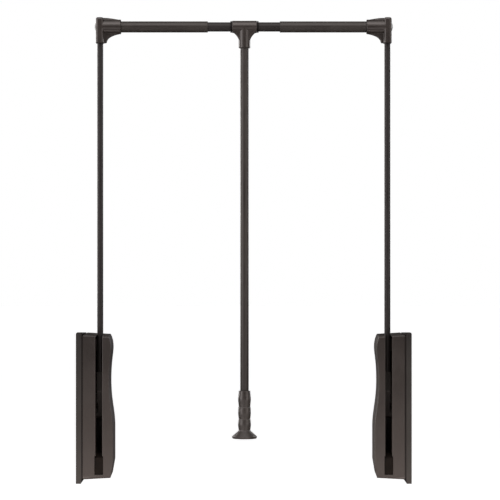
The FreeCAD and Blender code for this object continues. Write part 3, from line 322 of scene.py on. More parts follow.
def coated(name, base, cloud, bare, rough, grains=1800.0, depth=0.00003, wear=0.5, metal=0.0, gloss=0.5,
           foot_light_colour=None):
    """Paint, powder coat or moulded plastic: cloudy colour, a pebbled skin, rubbed edges and dust.

    A lighter colour, where given, comes up towards the foot of a wall housing as painted light from the
    floor, and the gap at its
    plate gets painted shade: dark, with less gloss.
    """
    finish, tree, shader, place = blank_finish(name)
    grain = use_group(tree, COAT_GRAIN, Place=place, Grains_per_metre=grains)
    worn = use_group(tree, WORN_EDGES, Place=place, Amount=wear)["Mask"]
    dust = use_group(tree, SETTLED_DUST, Place=place, Amount=DUST_AMOUNT)["Mask"]
    skin = tint(tree, grain["Cloud"], base, cloud)
    # painted light: the colour grows lighter towards the foot, as if lit from the floor below
    if foot_light_colour:
        brightening = use_group(tree, PAINTED_FOOT_LIGHT, Place=place)["Mask"]
        skin = tint(tree, brightening, skin, foot_light_colour)
    skin = tint(tree, dust, tint(tree, worn, skin, bare), DUST)
    shader.inputs["Specular IOR Level"].default_value = gloss
    # painted shade: the gap at the plate is darkened and its gloss lowered
    if foot_light_colour:
        gap = use_group(tree, WALL_GAP, Place=place)["Mask"]
        skin = tint(tree, gap, skin, GAP_SHADE)
        feed(tree, shader.inputs["Specular IOR Level"], spread(tree, gap, gloss, GAP_GLOSS * gloss))
    feed(tree, shader.inputs["Base Color"], skin)
    roughness = spread(tree, grain["Cloud"], rough - CLOUD_SMOOTHER, rough + CLOUD_ROUGHER)
    roughness = maths(tree, "SUBTRACT", roughness, maths(tree, "MULTIPLY", worn, WORN_SMOOTHER))
    roughness = maths(tree, "ADD", roughness, maths(tree, "MULTIPLY", dust, DUST_ROUGHER))
    feed(tree, shader.inputs["Roughness"], roughness)
    shader.inputs["Metallic"].default_value = metal
    shader.inputs["Specular Tint"].default_value = WARM_GLOSS
    set_bump(tree, shader, grain["Height"], 0.5, depth)
    return finish


def bare_steel(name, base, rough, stretch):
    """Ground or turned steel with fine lines along or round it and an oily cloud."""
    finish, tree, shader, place = blank_finish(name)
    line = use_group(tree, DRAWN_LINES, Place=place, Stretch=stretch)["Line"]
    grain = use_group(tree, COAT_GRAIN, Place=place, Grains_per_metre=2500.0)
    oily = tint(tree, grain["Cloud"], base, scaled(base, 0.72))
    feed(tree, shader.inputs["Base Color"], oily)
    feed(tree, shader.inputs["Roughness"], spread(tree, line, rough - 0.08, rough + 0.1))
    shader.inputs["Metallic"].default_value = 1.0
    set_bump(tree, shader, line, 0.3, 0.00002)
    return finish


def rubber(name, base):
    """Soft black-brown rubber with a dull bloom and small pits."""
    finish, tree, shader, place = blank_finish(name)
    grain = use_group(tree, COAT_GRAIN, Place=place, Grains_per_metre=900.0, Clouds_per_metre=90.0)
    worn = use_group(tree, WORN_EDGES, Place=place, Amount=0.35)["Mask"]
    skin = tint(tree, grain["Cloud"], base, scaled(base, 1.7))
    feed(tree, shader.inputs["Base Color"], tint(tree, worn, skin, colour(0.022, 0.018, 0.015)))
    feed(tree, shader.inputs["Roughness"], spread(tree, grain["Cloud"], 0.62, 0.82))
    shader.inputs["Specular IOR Level"].default_value = 0.08
    set_bump(tree, shader, grain["Height"], 0.6, 0.00008)
    return finish


# the plate and the housing get a lighter foot colour, which is painted light from the floor, and painted
# shade in the gap at the plate
FINISHES = {
    "plate": coated(
        "bronze wall plate paint", colour(0.014, 0.012, 0.011), colour(0.020, 0.017, 0.015),
        colour(0.07, 0.056, 0.046), rough=0.42, grains=1500.0, depth=0.00006,
        gloss=0.40, foot_light_colour=colour(0.040, 0.034, 0.030),
    ),
    "housing": coated(
        "bronze housing skin", colour(0.011, 0.0075, 0.006), colour(0.018, 0.013, 0.011),
        colour(0.065, 0.052, 0.044), rough=0.42, grains=1300.0, depth=0.00012,
        gloss=0.46, foot_light_colour=colour(0.052, 0.041, 0.036),
    ),
    "dark_bronze": coated(
        "bronze tube coat", colour(0.022, 0.018, 0.016), colour(0.029, 0.024, 0.021),
        colour(0.10, 0.082, 0.068), rough=0.40, grains=2200.0, depth=0.00004,
        gloss=0.38,
    ),
    "fitting_bronze": coated(
        "bronze casting paint", colour(0.021, 0.016, 0.014), colour(0.029, 0.022, 0.019),
        colour(0.10, 0.080, 0.065), rough=0.30, grains=1400.0, depth=0.00009,
        wear=0.7, gloss=0.52,
    ),
    "collar_black": coated(
        "black collar plastic", colour(0.003, 0.002, 0.002), colour(0.005, 0.004, 0.004),
        colour(0.02, 0.017, 0.015), rough=0.55, grains=1500.0, depth=0.00006,
        gloss=0.12,
    ),
    "grip_brown": coated(
        "moulded grip skin", colour(0.023, 0.018, 0.016), colour(0.031, 0.025, 0.022),
        colour(0.09, 0.073, 0.062), rough=0.36, grains=1200.0, depth=0.00012,
        gloss=0.54,
    ),
    "lever_casting": coated(
        "lever casting paint", colour(0.020, 0.017, 0.015), colour(0.028, 0.023, 0.020),
        colour(0.12, 0.10, 0.08), rough=0.5, grains=900.0, depth=0.00006,
        metal=0.3,
    ),
    "strut_black": coated(
        "gas spring gloss paint", colour(0.006, 0.006, 0.006), colour(0.009, 0.009, 0.009),
        colour(0.08, 0.075, 0.07), rough=0.22, grains=1800.0, depth=0.00001,
    ),
    "bush_nylon": coated(
        "black nylon", colour(0.014, 0.013, 0.012), colour(0.020, 0.018, 0.017),
        colour(0.05, 0.045, 0.04), rough=0.5, grains=1000.0, depth=0.00003,
        wear=0.3,
    ),
    "screws": coated(
        "blackened screw steel", colour(0.020, 0.017, 0.015), colour(0.030, 0.025, 0.022),
        colour(0.20, 0.17, 0.14), rough=0.38, grains=2600.0, depth=0.00001,
        wear=0.8, metal=0.8,
    ),
    "bright_steel": bare_steel("ground steel", colour(0.42, 0.41, 0.39), 0.3, (60.0, 2600.0, 2600.0)),
    "bumper_rubber": rubber("bumper rubber", colour(0.006, 0.004, 0.003)),
}


ARM_COAT = coated(
    "bronze arm coat", colour(0.015, 0.013, 0.0125), colour(0.020, 0.017, 0.0165),
    colour(0.08, 0.066, 0.058), rough=0.42, grains=2200.0, depth=0.00004, gloss=0.25,
)


def node_slot(node):
    """The finish slot that the record gives to a solid."""
    return next(part["material_slot"] for part in frame["record"]["subparts"] if part["node"] == node)


def node_body(node):
    bodies = frame["record"]["behaviour"]["bodies"]
    return next(body for body, nodes in bodies.items() if node in nodes)


def settle(piece, *nodes):
    """Finishes a piece that stands for these solids: the material of the first solid's slot, the body and
    the nodes that it hides.
    """
    label = node_slot(nodes[0])
    if not piece.data.materials:
        piece.data.materials.append(FINISHES[label])
    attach(piece, node_body(nodes[0]))
    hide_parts(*nodes)
    return piece


# ---------------------------------------------------------------- mesh helpers
FLAT_WITHIN = math.radians(0.6)       # faces that turn by less are one flat face
EASE_FROM = math.radians(40.0)        # corners that turn by more are rounded over
RIB_FROM = math.radians(50.0)
NEARLY_STRAIGHT = math.radians(160.0)
SIDE_SHARE = 0.45                     # the most that a rounded corner takes of a side
CAST_VOXEL = 0.42 * MM
CAST_SHARP_DEG = 60.0


def new_piece(name, mesh):
    piece = bpy.data.objects.new(name, mesh)
    bpy.context.scene.collection.objects.link(piece)
    return piece


def shade(mesh, degrees=35.0):
    """Smooth faces, with the sharper corners kept crisp."""
    mesh.shade_smooth()
    mesh.set_sharp_from_angle(angle=math.radians(degrees))


def plain(piece):
    """The piece with its modifiers worked into a plain mesh."""
    bpy.context.view_layer.update()
    result = piece.evaluated_get(bpy.context.evaluated_depsgraph_get())
    mesh = bpy.data.meshes.new_from_object(result)
    piece.modifiers.clear()
    piece.data = mesh
    return piece


def solid_copy(node, name):
    """A merged copy of a solid's mesh, with its flat faces whole again."""
    mesh = frame["nodes"][node].data.copy()
    mesh.name = name
    mesh.materials.clear()
    if "custom_normal" in mesh.attributes:
        mesh.attributes.remove(mesh.attributes["custom_normal"])
    work = bmesh.new()
    work.from_mesh(mesh)
    bmesh.ops.remove_doubles(work, verts=work.verts, dist=MERGE_WITHIN)
    bmesh.ops.dissolve_limit(work, angle_limit=FLAT_WITHIN, verts=work.verts, edges=work.edges)
    work.to_mesh(mesh)
    work.free()
    return new_piece(name, mesh)


def eased_copy(node, name, width, steps=2):
    """A solid's copy with its edges rounded over."""
    piece = solid_copy(node, name)
    ease = piece.modifiers.new("rounded edges", "BEVEL")
    ease.width = width
    ease.segments = steps
    ease.limit_method = "ANGLE"
    ease.angle_limit = EASE_FROM
    ease.miter_outer = "MITER_ARC"
    ease.use_clamp_overlap = True
    piece.data.shade_smooth()
    level = piece.modifiers.new("flat faces stay flat", "WEIGHTED_NORMAL")
    level.mode = "FACE_AREA"
    level.weight = 90
    return plain(piece)


def round_webs(mesh, halves, width):
    """Rounds over the ribs' outer edges, which lie this far before and behind the arm's axis."""
    work = bmesh.new()
    work.from_mesh(mesh)
    chosen = []
    for edge in work.edges:
        if not edge.is_manifold or not edge.is_convex or edge.calc_face_angle() < RIB_FROM:
            continue
        off = [abs(corner.co.y - ARM_Y) for corner in edge.verts]
        if any(all(abs(away - half) < SAME_WITHIN for away in off) for half in halves):
            chosen.append(edge)
    bmesh.ops.bevel(work, geom=chosen, offset=width, offset_type="OFFSET", segments=4, profile=0.5,
                    affect="EDGES", clamp_overlap=False)
    work.to_mesh(mesh)
    work.free()


def cast_copy(node, name, halves, width, rounds):
    """A solid's copy with rounded ribs and the soft corners and run-in fillets of a casting."""
    piece = solid_copy(node, name)
    round_webs(piece.data, halves, width)
    skin = piece.modifiers.new("cast skin", "REMESH")
    skin.mode = "VOXEL"
    skin.voxel_size = CAST_VOXEL
    soften = piece.modifiers.new("soft corners", "SMOOTH")
    soften.factor = 0.5
    soften.iterations = rounds
    plain(piece)
    shade(piece.data, CAST_SHARP_DEG)
    return piece


def corner_rounded(points, radius, steps=4):
    """A closed outline with its sharp corners rounded, each by no more than its sides allow."""
    result = []
    for index, corner in enumerate(points):
        corner = Vector(corner)
        back = Vector(points[index - 1]) - corner
        ahead = Vector(points[(index + 1) % len(points)]) - corner
        if back.angle(ahead) > NEARLY_STRAIGHT or corner.x < SAME_WITHIN:
            result.append(corner)
            continue
        ease = min(radius, back.length * SIDE_SHARE, ahead.length * SIDE_SHARE)
        start = corner + back.normalized() * ease
        end = corner + ahead.normalized() * ease
        for step in range(steps + 1):
            t = step / steps
            result.append(start.lerp(corner, t).lerp(corner.lerp(end, t), t))
    return result


def smooth_run(points, steps=6):
    """An open run of points with a smooth curve through them all."""
    given = [Vector(point) for point in points]
    given = [given[0] * 2 - given[1]] + given + [given[-1] * 2 - given[-2]]
    result = [given[1]]
    for before, start, end, after in zip(given, given[1:], given[2:], given[3:]):
        for step in range(1, steps + 1):
            t = step / steps
            result.append((
                start * 2 + (end - before) * t + (before * 2 - start * 5 + end * 4 - after) * t ** 2
                + (start * 3 - before - end * 3 + after) * t ** 3
            ) / 2)
    return result


def turned(name, outline, centre, around=96):
    """A piece turned about an upright axis from a closed outline of (radius, height)."""
    work = bmesh.new()
    rings = []
    for radius, height in outline:
        spots = around if radius > SAME_WITHIN else 1
        ring = []
        for spot in range(spots):
            turn = 2 * math.pi * spot / around
            ring.append(work.verts.new((
                centre[0] + radius * math.cos(turn),
                centre[1] + radius * math.sin(turn),
                height,
            )))
        rings.append(ring)
    for lower, upper in zip(rings, rings[1:] + rings[:1]):
        if len(lower) == 1 and len(upper) == 1:
            continue
        for spot in range(around):
            after = (spot + 1) % around
            corners = [lower[spot % len(lower)], lower[after % len(lower)],
                       upper[after % len(upper)], upper[spot % len(upper)]]
            work.faces.new(list(dict.fromkeys(corners)))
    bmesh.ops.recalc_face_normals(work, faces=work.faces)
    mesh = bpy.data.meshes.new(name)
    work.to_mesh(mesh)
    work.free()
    shade(mesh)
    return new_piece(name, mesh)


def separate_bodies(node):
    """The corner points of each body in a solid's node, in a fixed order."""
    work = bmesh.new()
    work.from_mesh(frame["nodes"][node].data)
    bmesh.ops.remove_doubles(work, verts=work.verts, dist=MERGE_WITHIN)
    waiting = set(work.verts)
    bodies = []
    while waiting:
        reached = [waiting.pop()]
        for corner in reached:
            for edge in corner.link_edges:
                other = edge.other_vert(corner)
                if other in waiting:
                    waiting.remove(other)
                    reached.append(other)
        bodies.append([corner.co.copy() for corner in reached])
    work.free()
    return sorted(bodies, key=lambda points: [round(c, 5) for c in box_of(points)[0]])


def box_of(points):
    low = Vector([min(point[axis] for point in points) for axis in range(3)])
    high = Vector([max(point[axis] for point in points) for axis in range(3)])
    return low, high


# ---------------------------------------------------------------- geometry node trees
def set_inputs(modifier, values):
    """Gives a geometry node modifier its inputs by name."""
    for socket in modifier.node_group.interface.items_tree:
        if socket.item_type == "SOCKET" and socket.in_out == "INPUT" and socket.name in values:
            modifier[socket.identifier] = values[socket.name]


def grown(name, tree, values, places):
    """A piece made by a geometry node tree at these points, turned into a plain mesh."""
    mesh = bpy.data.meshes.new(name)
    mesh.from_pydata(places, [], [])
    piece = new_piece(name, mesh)
    modifier = piece.modifiers.new("shape", "NODES")
    modifier.node_group = tree
    set_inputs(modifier, values)
    plain(piece)
    shade(piece.data)
    return piece


def tube_tree():
    """Tubes or rings at the mesh's points: a rounded wall section swept round a ring, then turned."""
    tree, given, result = group_tree(
        "round tube",
        "GeometryNodeTree",
        [
            ("Geometry", "NodeSocketGeometry", None),
            ("Length", "NodeSocketFloat", 0.1),
            ("Radius", "NodeSocketFloat", 0.01),
            ("Wall", "NodeSocketFloat", 0.001),
            ("Rim", "NodeSocketFloat", 0.0004),
            ("Turn", "NodeSocketVector", (0.0, 0.0, 0.0)),
            ("Finish", "NodeSocketMaterial", None),
        ],
        [("Geometry", "NodeSocketGeometry")],
    )
    middle = maths(tree, "SUBTRACT", given["Radius"], maths(tree, "MULTIPLY", given["Wall"], 0.5))
    ring = add(tree, "GeometryNodeCurvePrimitiveCircle")
    feed(tree, ring.inputs["Resolution"], 112)
    feed(tree, ring.inputs["Radius"], middle)
    section = add(tree, "GeometryNodeCurvePrimitiveQuadrilateral")
    feed(tree, section.inputs["Width"], given["Wall"])
    feed(tree, section.inputs["Height"], given["Length"])
    eased = add(tree, "GeometryNodeFilletCurve", mode="POLY")
    feed(tree, eased.inputs["Curve"], section.outputs[0])
    feed(tree, eased.inputs["Count"], 3)
    feed(tree, eased.inputs["Radius"], given["Rim"])
    sweep = add(tree, "GeometryNodeCurveToMesh")
    feed(tree, sweep.inputs["Curve"], ring.outputs[0])
    feed(tree, sweep.inputs["Profile Curve"], eased.outputs[0])
    laid = add(tree, "GeometryNodeTransform")
    feed(tree, laid.inputs["Geometry"], sweep.outputs[0])
    feed(tree, laid.inputs["Rotation"], given["Turn"])
    spots = add(tree, "GeometryNodeInstanceOnPoints")
    feed(tree, spots.inputs["Points"], given["Geometry"])
    feed(tree, spots.inputs["Instance"], laid.outputs[0])
    whole = add(tree, "GeometryNodeRealizeInstances")
    feed(tree, whole.inputs[0], spots.outputs[0])
    painted = add(tree, "GeometryNodeSetMaterial")
    feed(tree, painted.inputs["Geometry"], whole.outputs[0])
    feed(tree, painted.inputs["Material"], given["Finish"])
    feed(tree, result["Geometry"], painted.outputs[0])
    return tree


def screw_tree():
    """Screws at the mesh's points: a shank, an eased head and a hexagon recess, facing one way."""
    tree, given, result = group_tree(
        "hex recess screws",
        "GeometryNodeTree",
        [
            ("Geometry", "NodeSocketGeometry", None),
            ("Shank radius", "NodeSocketFloat", 0.002),
            ("Shank length", "NodeSocketFloat", 0.01),
            ("Head radius", "NodeSocketFloat", 0.0038),
            ("Head height", "NodeSocketFloat", 0.0024),
            ("Ease", "NodeSocketFloat", 0.0005),
            ("Recess radius", "NodeSocketFloat", 0.0016),
            ("Recess depth", "NodeSocketFloat", 0.0012),
            ("Facing", "NodeSocketVector", (1.0, 0.0, 0.0)),
            ("Seed", "NodeSocketInt", 3),
            ("Finish", "NodeSocketMaterial", None),
        ],
        [("Geometry", "NodeSocketGeometry")],
    )

    def stud(radius, top_radius, length, foot, corners):
        """A cone or bar along Z that stands on this height."""
        bar = add(tree, "GeometryNodeMeshCone", fill_type="NGON")
        feed(tree, bar.inputs["Vertices"], corners)
        feed(tree, bar.inputs["Radius Top"], top_radius)
        feed(tree, bar.inputs["Radius Bottom"], radius)
        feed(tree, bar.inputs["Depth"], length)
        lift = add(tree, "ShaderNodeCombineXYZ")
        feed(tree, lift.inputs["Z"], foot)
        moved = add(tree, "GeometryNodeTransform")
        feed(tree, moved.inputs["Geometry"], bar.outputs["Mesh"])
        feed(tree, moved.inputs["Translation"], lift.outputs[0])
        return moved.outputs[0]

    overlap = 0.0001
    shank_sides, head_sides, key_sides = 32, 40, 6
    body_height = maths(tree, "SUBTRACT", given["Head height"], given["Ease"])
    shank_length = maths(tree, "ADD", given["Shank length"], overlap)
    shank_foot = maths(tree, "MULTIPLY", given["Shank length"], -1.0)
    shank = stud(given["Shank radius"], given["Shank radius"], shank_length, shank_foot, shank_sides)
    head = stud(given["Head radius"], given["Head radius"], body_height, 0.0, head_sides)
    crown_radius = maths(tree, "SUBTRACT", given["Head radius"], given["Ease"])
    crown = stud(given["Head radius"], crown_radius, given["Ease"], body_height, head_sides)
    key_length = maths(tree, "MULTIPLY", given["Recess depth"], 2.0)
    key_foot = maths(tree, "SUBTRACT", given["Head height"], given["Recess depth"])
    key = stud(given["Recess radius"], given["Recess radius"], key_length, key_foot, key_sides)
    built = add(tree, "GeometryNodeMeshBoolean", operation="UNION", solver="EXACT")
    for part in (shank, head, crown):
        tree.links.new(part, built.inputs["Mesh 2"])
    bored = add(tree, "GeometryNodeMeshBoolean", operation="DIFFERENCE", solver="EXACT")
    tree.links.new(built.outputs["Mesh"], bored.inputs["Mesh 1"])
    tree.links.new(key, bored.inputs["Mesh 2"])
    aim = add(tree, "FunctionNodeAlignRotationToVector", axis="Z")
    feed(tree, aim.inputs["Vector"], given["Facing"])
    spin = add(tree, "FunctionNodeRandomValue", data_type="FLOAT")
    feed(tree, spin.inputs["Seed"], given["Seed"])
    spin.inputs[3].default_value = math.radians(60.0)
    twist = add(tree, "FunctionNodeAxisAngleToRotation")
    feed(tree, twist.inputs["Axis"], (0.0, 0.0, 1.0))
    tree.links.new(spin.outputs[1], twist.inputs["Angle"])
    posed = add(tree, "FunctionNodeRotateRotation", rotation_space="LOCAL")
    tree.links.new(aim.outputs[0], posed.inputs["Rotation"])
    tree.links.new(twist.outputs[0], posed.inputs["Rotate By"])
    spots = add(tree, "GeometryNodeInstanceOnPoints")
    tree.links.new(given["Geometry"], spots.inputs["Points"])
    tree.links.new(bored.outputs["Mesh"], spots.inputs["Instance"])
    tree.links.new(posed.outputs[0], spots.inputs["Rotation"])
    whole = add(tree, "GeometryNodeRealizeInstances")
    tree.links.new(spots.outputs[0], whole.inputs[0])
    painted = add(tree, "GeometryNodeSetMaterial")
    tree.links.new(whole.outputs[0], painted.inputs["Geometry"])
    feed(tree, painted.inputs["Material"], given["Finish"])
    tree.links.new(painted.outputs[0], result["Geometry"])
    return tree


TUBE = tube_tree()
SCREWS = screw_tree()
ALONG = {"x": (0.0, math.radians(90.0), 0.0), "z": (0.0, 0.0, 0.0)}
SCREW_HEAD = 2.4 * MM         # height of a head, as the node group has it
SET_SCREW_SHANK = 1.0 * MM
SET_SCREW = {
    "Shank radius": 2.4 * MM,
    "Shank length": SET_SCREW_SHANK,
    "Head radius": 2.5 * MM,
    "Head height": 2.0 * MM,
    "Ease": 0.3 * MM,
    "Recess radius": 1.25 * MM,
    "Recess depth": 1.5 * MM,
    "Facing": (0.0, 1.0, 0.0),
    "Seed": 8,
}


def tube_piece(node, name, along, rim, finish=None):
    """Tubes or rings that stand for a solid's bodies, with rounded rims."""
    axis = "xyz".index(along)
    first, second = (axis + 1) % 3, (axis + 2) % 3
    bodies = separate_bodies(node)
    middles = [sum(box_of(points), Vector()) / 2 for points in bodies]
    low, high = box_of(bodies[0])
    reach = [math.hypot(p[first] - middles[0][first], p[second] - middles[0][second]) for p in bodies[0]]
    return settle(grown(name, TUBE, {
        "Length": high[axis] - low[axis],
        "Radius": max(reach),
        "Wall": max(reach) - min(reach),
        "Rim": rim,
        "Turn": ALONG[along],
        "Finish": finish or FINISHES[node_slot(node)],
    }, middles), node)


def headed_screws(node, name, inward):
    """Screws whose heads look into the closet, at the places of a solid's bodies."""
    spots = []
    shanks = []
    for points in separate_bodies(node):
        low, high = box_of(points)
        top, tip = (high.x, low.x) if inward > 0 else (low.x, high.x)
        seat = top - inward * SCREW_HEAD
        spots.append((seat, (low.y + high.y) / 2, (low.z + high.z) / 2))
        shanks.append(abs(seat - tip))
    settle(grown(name, SCREWS, {
        "Shank length": min(shanks),
        "Facing": (inward, 0.0, 0.0),
        "Finish": FINISHES["screws"],
    }, spots), node)


def set_screws(node, name):
    """Headless screws that look backwards, at the places of a solid's bodies."""
    spots = []
    for points in separate_bodies(node):
        low, high = box_of(points)
        spots.append(((low.x + high.x) / 2, low.y + SET_SCREW_SHANK, (low.z + high.z) / 2))
    settle(grown(name, SCREWS, {**SET_SCREW, "Finish": FINISHES["screws"]}, spots), node)


# ---------------------------------------------------------------- wall housings
INWARD = {"left": 1.0, "right": -1.0}


def housing_pieces(side):
    """The wall plate, the housing and what stands still inside it. Widths of round-overs in mm."""
    for node, name, width, steps in (
        ("_wall_plate", "_plate_pressing", 0.5, 2),
        ("_outer_shell", "_shell_moulding", 0.4, 2),
        ("_inner_cover", "_cover_moulding", 0.4, 2),
        ("_arm_bumper", "_bumper_block", 0.8, 3),
        ("_rest_pad", "_rest_pad_block", 0.8, 3),
        ("_pivot_pin", "_pivot_pin_turned", 0.4, 2),
        ("_strut_anchor", "_strut_anchor_turned", 0.3, 2),
        ("_strut_cylinder", "_strut_cylinder_body", 0.8, 3),
    ):
        settle(eased_copy(side + node, side + name, width * MM, steps), side + node)
    headed_screws(side + "_cover_screws", side + "_cover_fixings", INWARD[side])
    headed_screws(side + "_plate_screws", side + "_plate_fixings", INWARD[side])


def drive_pieces(side):
    """The gas spring's moving end and the lever with its cam. Widths of round-overs in mm."""
    for node, name, width in (
        ("_lever", "_lever_casting", 0.6),
        ("_cam", "_cam_casting", 0.5),
        ("_pivot_bushes", "_pivot_bush_pair", 0.2),
        ("_strut_rod", "_strut_rod_turned", 0.4),
        ("_strut_fork", "_strut_fork_casting", 0.4),
        ("_roller_pin", "_roller_pin_turned", 0.3),
        ("_cam_roller", "_cam_roller_turned", 0.5),
    ):
        settle(eased_copy(side + node, side + name, width * MM), side + node)


# ---------------------------------------------------------------- arms and rod
ARM_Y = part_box("left_arm")[0].lerp(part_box("left_arm")[1], 0.5).y
ELBOW_RIBS = (5.0 * MM, 4.0 * MM)     # half thickness of the ribs
TEE_RIBS = (7.5 * MM,)
ELBOW_ROUND = 2.2 * MM
TEE_ROUND = 2.0 * MM
CAST_ROUNDS = 3                       # how often a casting's corners are softened


def arm_pieces(side):
    tube_piece(side + "_arm", side + "_arm_tube", "z", 0.3 * MM, ARM_COAT)
    tube_piece(side + "_outer_tube", side + "_rod_outer_tube", "x", 0.35 * MM)
    tube_piece(side + "_guide_sleeve", side + "_tube_liner", "x", 0.15 * MM)
    elbow = cast_copy(side + "_elbow", side + "_elbow_casting", ELBOW_RIBS, ELBOW_ROUND, CAST_ROUNDS)
    settle(elbow, side + "_elbow")
    cap = eased_copy(side + "_elbow_cap", side + "_elbow_end_cap", 0.25 * MM)
    cap.data.materials.append(ARM_COAT)
    settle(cap, side + "_elbow_cap")
    set_screws(side + "_elbow_screws", side + "_elbow_fixings")


def middle_pieces():
    tube_piece("inner_tube", "rod_inner_tube", "x", 0.35 * MM, ARM_COAT)
    tube_piece("rod_collars", "rod_collar_rings", "x", 0.6 * MM)
    tube_piece("tee_bushes", "tee_bush_pair", "x", 0.2 * MM)
    tube_piece("pull_pole", "pull_pole_tube", "z", 0.35 * MM)
    settle(cast_copy("tee_bracket", "tee_casting", TEE_RIBS, TEE_ROUND, CAST_ROUNDS), "tee_bracket")
    set_screws("tee_screw", "tee_fixing")


# ---------------------------------------------------------------- grip, in millimetres
GRIP_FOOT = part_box("hand_grip")[0].z  # in metres, as is the top
GRIP_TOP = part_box("hand_grip")[1].z
GRIP_BORE = 8.4
GRIP_MOUTH = 11.3
POLE_REST = 15.2              # end of the pole above the foot
HOLLOW_TOP = 12.2
HOLLOW_WIDE = 22.7
HOLLOW_NARROW = 10.2
FLARE = ((12.7, 14.5), (25.2, 3.4), (23.7, 0.0))
GRIP_SECTIONS = (             # radius and height above the foot, from the top down
    ((12.05, 86.0), (12.75, 78.0), (12.1, 70.1), (11.5, 62.6)),
    ((12.15, 61.8), (12.5, 55.2), (12.65, 49.7), (12.2, 44.3), (11.5, 38.4)),
    ((11.9, 37.6), (12.4, 32.4), (12.85, 27.4), (12.35, 22.2), (11.7, 17.1)),
)
FOOT_DISC = (                 # radius and height above the foot
    (0.0, 2.5), (20.14, 2.5), (HOLLOW_WIDE, 0.0), (16.0, 0.0),
    (15.2, 0.8), (4.0, 0.8), (3.4, 0.3), (0.0, 0.3),
)
GRIP_EASE = 0.35
DISC_EASE = 0.3
GRIP_AROUND = 128


def over_grip(outline):
    """An outline in millimetres above the foot, in place."""
    return [(radius * MM, GRIP_FOOT + height * MM) for radius, height in outline]


def grip_pieces():
    """The finger grip with its three stepped sections and flared foot, and the disc under it."""
    low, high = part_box("hand_grip")
    centre = (low + high) / 2
    height = (GRIP_TOP - GRIP_FOOT) / MM
    outline = [(GRIP_BORE, height)]
    first = ((GRIP_MOUTH, height),) + GRIP_SECTIONS[0]
    for section in (first,) + GRIP_SECTIONS[1:]:
        outline += [tuple(point) for point in smooth_run(section)]
    outline += list(FLARE)
    outline += [(HOLLOW_WIDE, 0.0), (HOLLOW_NARROW, HOLLOW_TOP), (0.0, HOLLOW_TOP), (0.0, POLE_REST)]
    outline.append((GRIP_BORE, POLE_REST))
    for name, edge, ease, node in (
        ("hand_grip_moulding", outline, GRIP_EASE, "hand_grip"),
        ("grip_foot_disc", FOOT_DISC, DISC_EASE, "grip_cap"),
    ):
        rounded = corner_rounded(over_grip(edge), ease * MM)
        settle(turned(name, rounded, centre, GRIP_AROUND), node)


# ---------------------------------------------------------------- studio
FLOOR_Z = -0.62
FLOOR_REACH = 30.0
FLOOR_GLOW = 0.62             # strength of its own white, for the camera and reflections
ROOM_LIGHT = 0.45             # strength of the light that the room throws on the pieces
SQUARE = [(0, 1, 2, 3)]       # one face over four corners
DROP = (0.33, 0.0, 0.3)       # about the middle of the rod's drop
LAMPS = (                     # name, place, aim, width, height, power, tone
    ("overhead panel", (0.33, -1.5, 2.7), (0.33, 0.0, 0.4), 2.6, 1.6, 35.5, (1.0, 1.0, 1.0)),
    ("left panel", (-2.3, -1.3, 0.7), DROP, 1.8, 2.6, 40.0, (0.97, 0.98, 1.0)),
    ("right panel", (2.7, -2.0, 0.5), DROP, 1.2, 2.4, 13.0, (1.0, 0.98, 0.94)),
    ("back left panel", (-1.9, 2.1, 0.9), DROP, 1.3, 2.0, 48.0, (1.0, 0.98, 0.96)),
    ("back right panel", (2.6, 2.1, 1.0), DROP, 1.0, 1.8, 34.0, (0.98, 0.98, 1.0)),
    ("left foot strip", (0.03, -0.48, -0.44), (0.03, 0.0, -0.10), 0.30, 0.14, 1.2, (1.0, 0.95, 0.92)),
    ("right foot strip", (0.63, -0.48, -0.44), (0.63, 0.0, -0.10), 0.30, 0.14, 1.2, (1.0, 0.95, 0.92)),
)
CARDS = (                     # name, one corner and the two sides
    ("card behind the camera", (-2.4, -5.4, -0.9), (5.4, 0.0, 0.0), (0.0, 0.0, 2.8)),
    ("card behind the rod", (-5.0, 2.6, -4.0), (10.7, 0.0, 0.0), (0.0, 0.0, 14.0)),
    ("card under the rod", (-4.0, -1.6, -0.6), (8.6, 0.0, 0.0), (0.0, 4.2, 0.0)),
    ("card at the left", (-3.6, 0.4, -4.0), (0.0, 2.3, 0.0), (0.0, 0.0, 12.0)),
    ("card at the right", (4.2, -0.6, -4.0), (0.0, 3.3, 0.0), (0.0, 0.0, 12.0)),
)
CAMERA_PLACE = (0.330, -4.060, 0.3131)
LENS_MM = 146.6
SENSOR_MM = 36.0
SIDE_SHIFT = 0.01242          # puts the rod a little left of the middle of the view
SIGHT_END = 100.0


def lamp(name, place, aim, width, height, power, tone):
    """A soft panel that faces a point."""
    panel = bpy.data.lights.new(name, "AREA")
    panel.shape = "RECTANGLE"
    panel.size = width
    panel.size_y = height
    panel.energy = power
    panel.color = tone
    holder = bpy.data.objects.new(name, panel)
    holder.location = place
    holder.rotation_euler = (Vector(aim) - Vector(place)).to_track_quat("-Z", "Y").to_euler()
    holder.visible_camera = False
    bpy.context.scene.collection.objects.link(holder)


def white_room():
    """A world that looks white to the camera and in reflections, and lights at a lower level."""
    world = bpy.data.worlds.new("pale room")
    bpy.context.scene.world = world
    world.use_nodes = True
    tree = world.node_tree
    tree.nodes.clear()
    out = add(tree, "ShaderNodeOutputWorld")
    path = add(tree, "ShaderNodeLightPath")
    seen = maths(tree, "MAXIMUM", path.outputs["Is Camera Ray"], path.outputs["Is Glossy Ray"])
    seen = maths(tree, "MAXIMUM", seen, path.outputs["Is Transmission Ray"])
    light = add(tree, "ShaderNodeBackground")
    light.inputs["Color"].default_value = colour(0.80, 0.80, 0.80)
    light.inputs["Strength"].default_value = ROOM_LIGHT
    shown = add(tree, "ShaderNodeBackground")
    shown.inputs["Color"].default_value = colour(1.0, 1.0, 1.0)
    shown.inputs["Strength"].default_value = 1.0
    mix = add(tree, "ShaderNodeMixShader")
    tree.links.new(seen, mix.inputs[0])
    tree.links.new(light.outputs[0], mix.inputs[1])
    tree.links.new(shown.outputs[0], mix.inputs[2])
    tree.links.new(mix.outputs[0], out.inputs["Surface"])


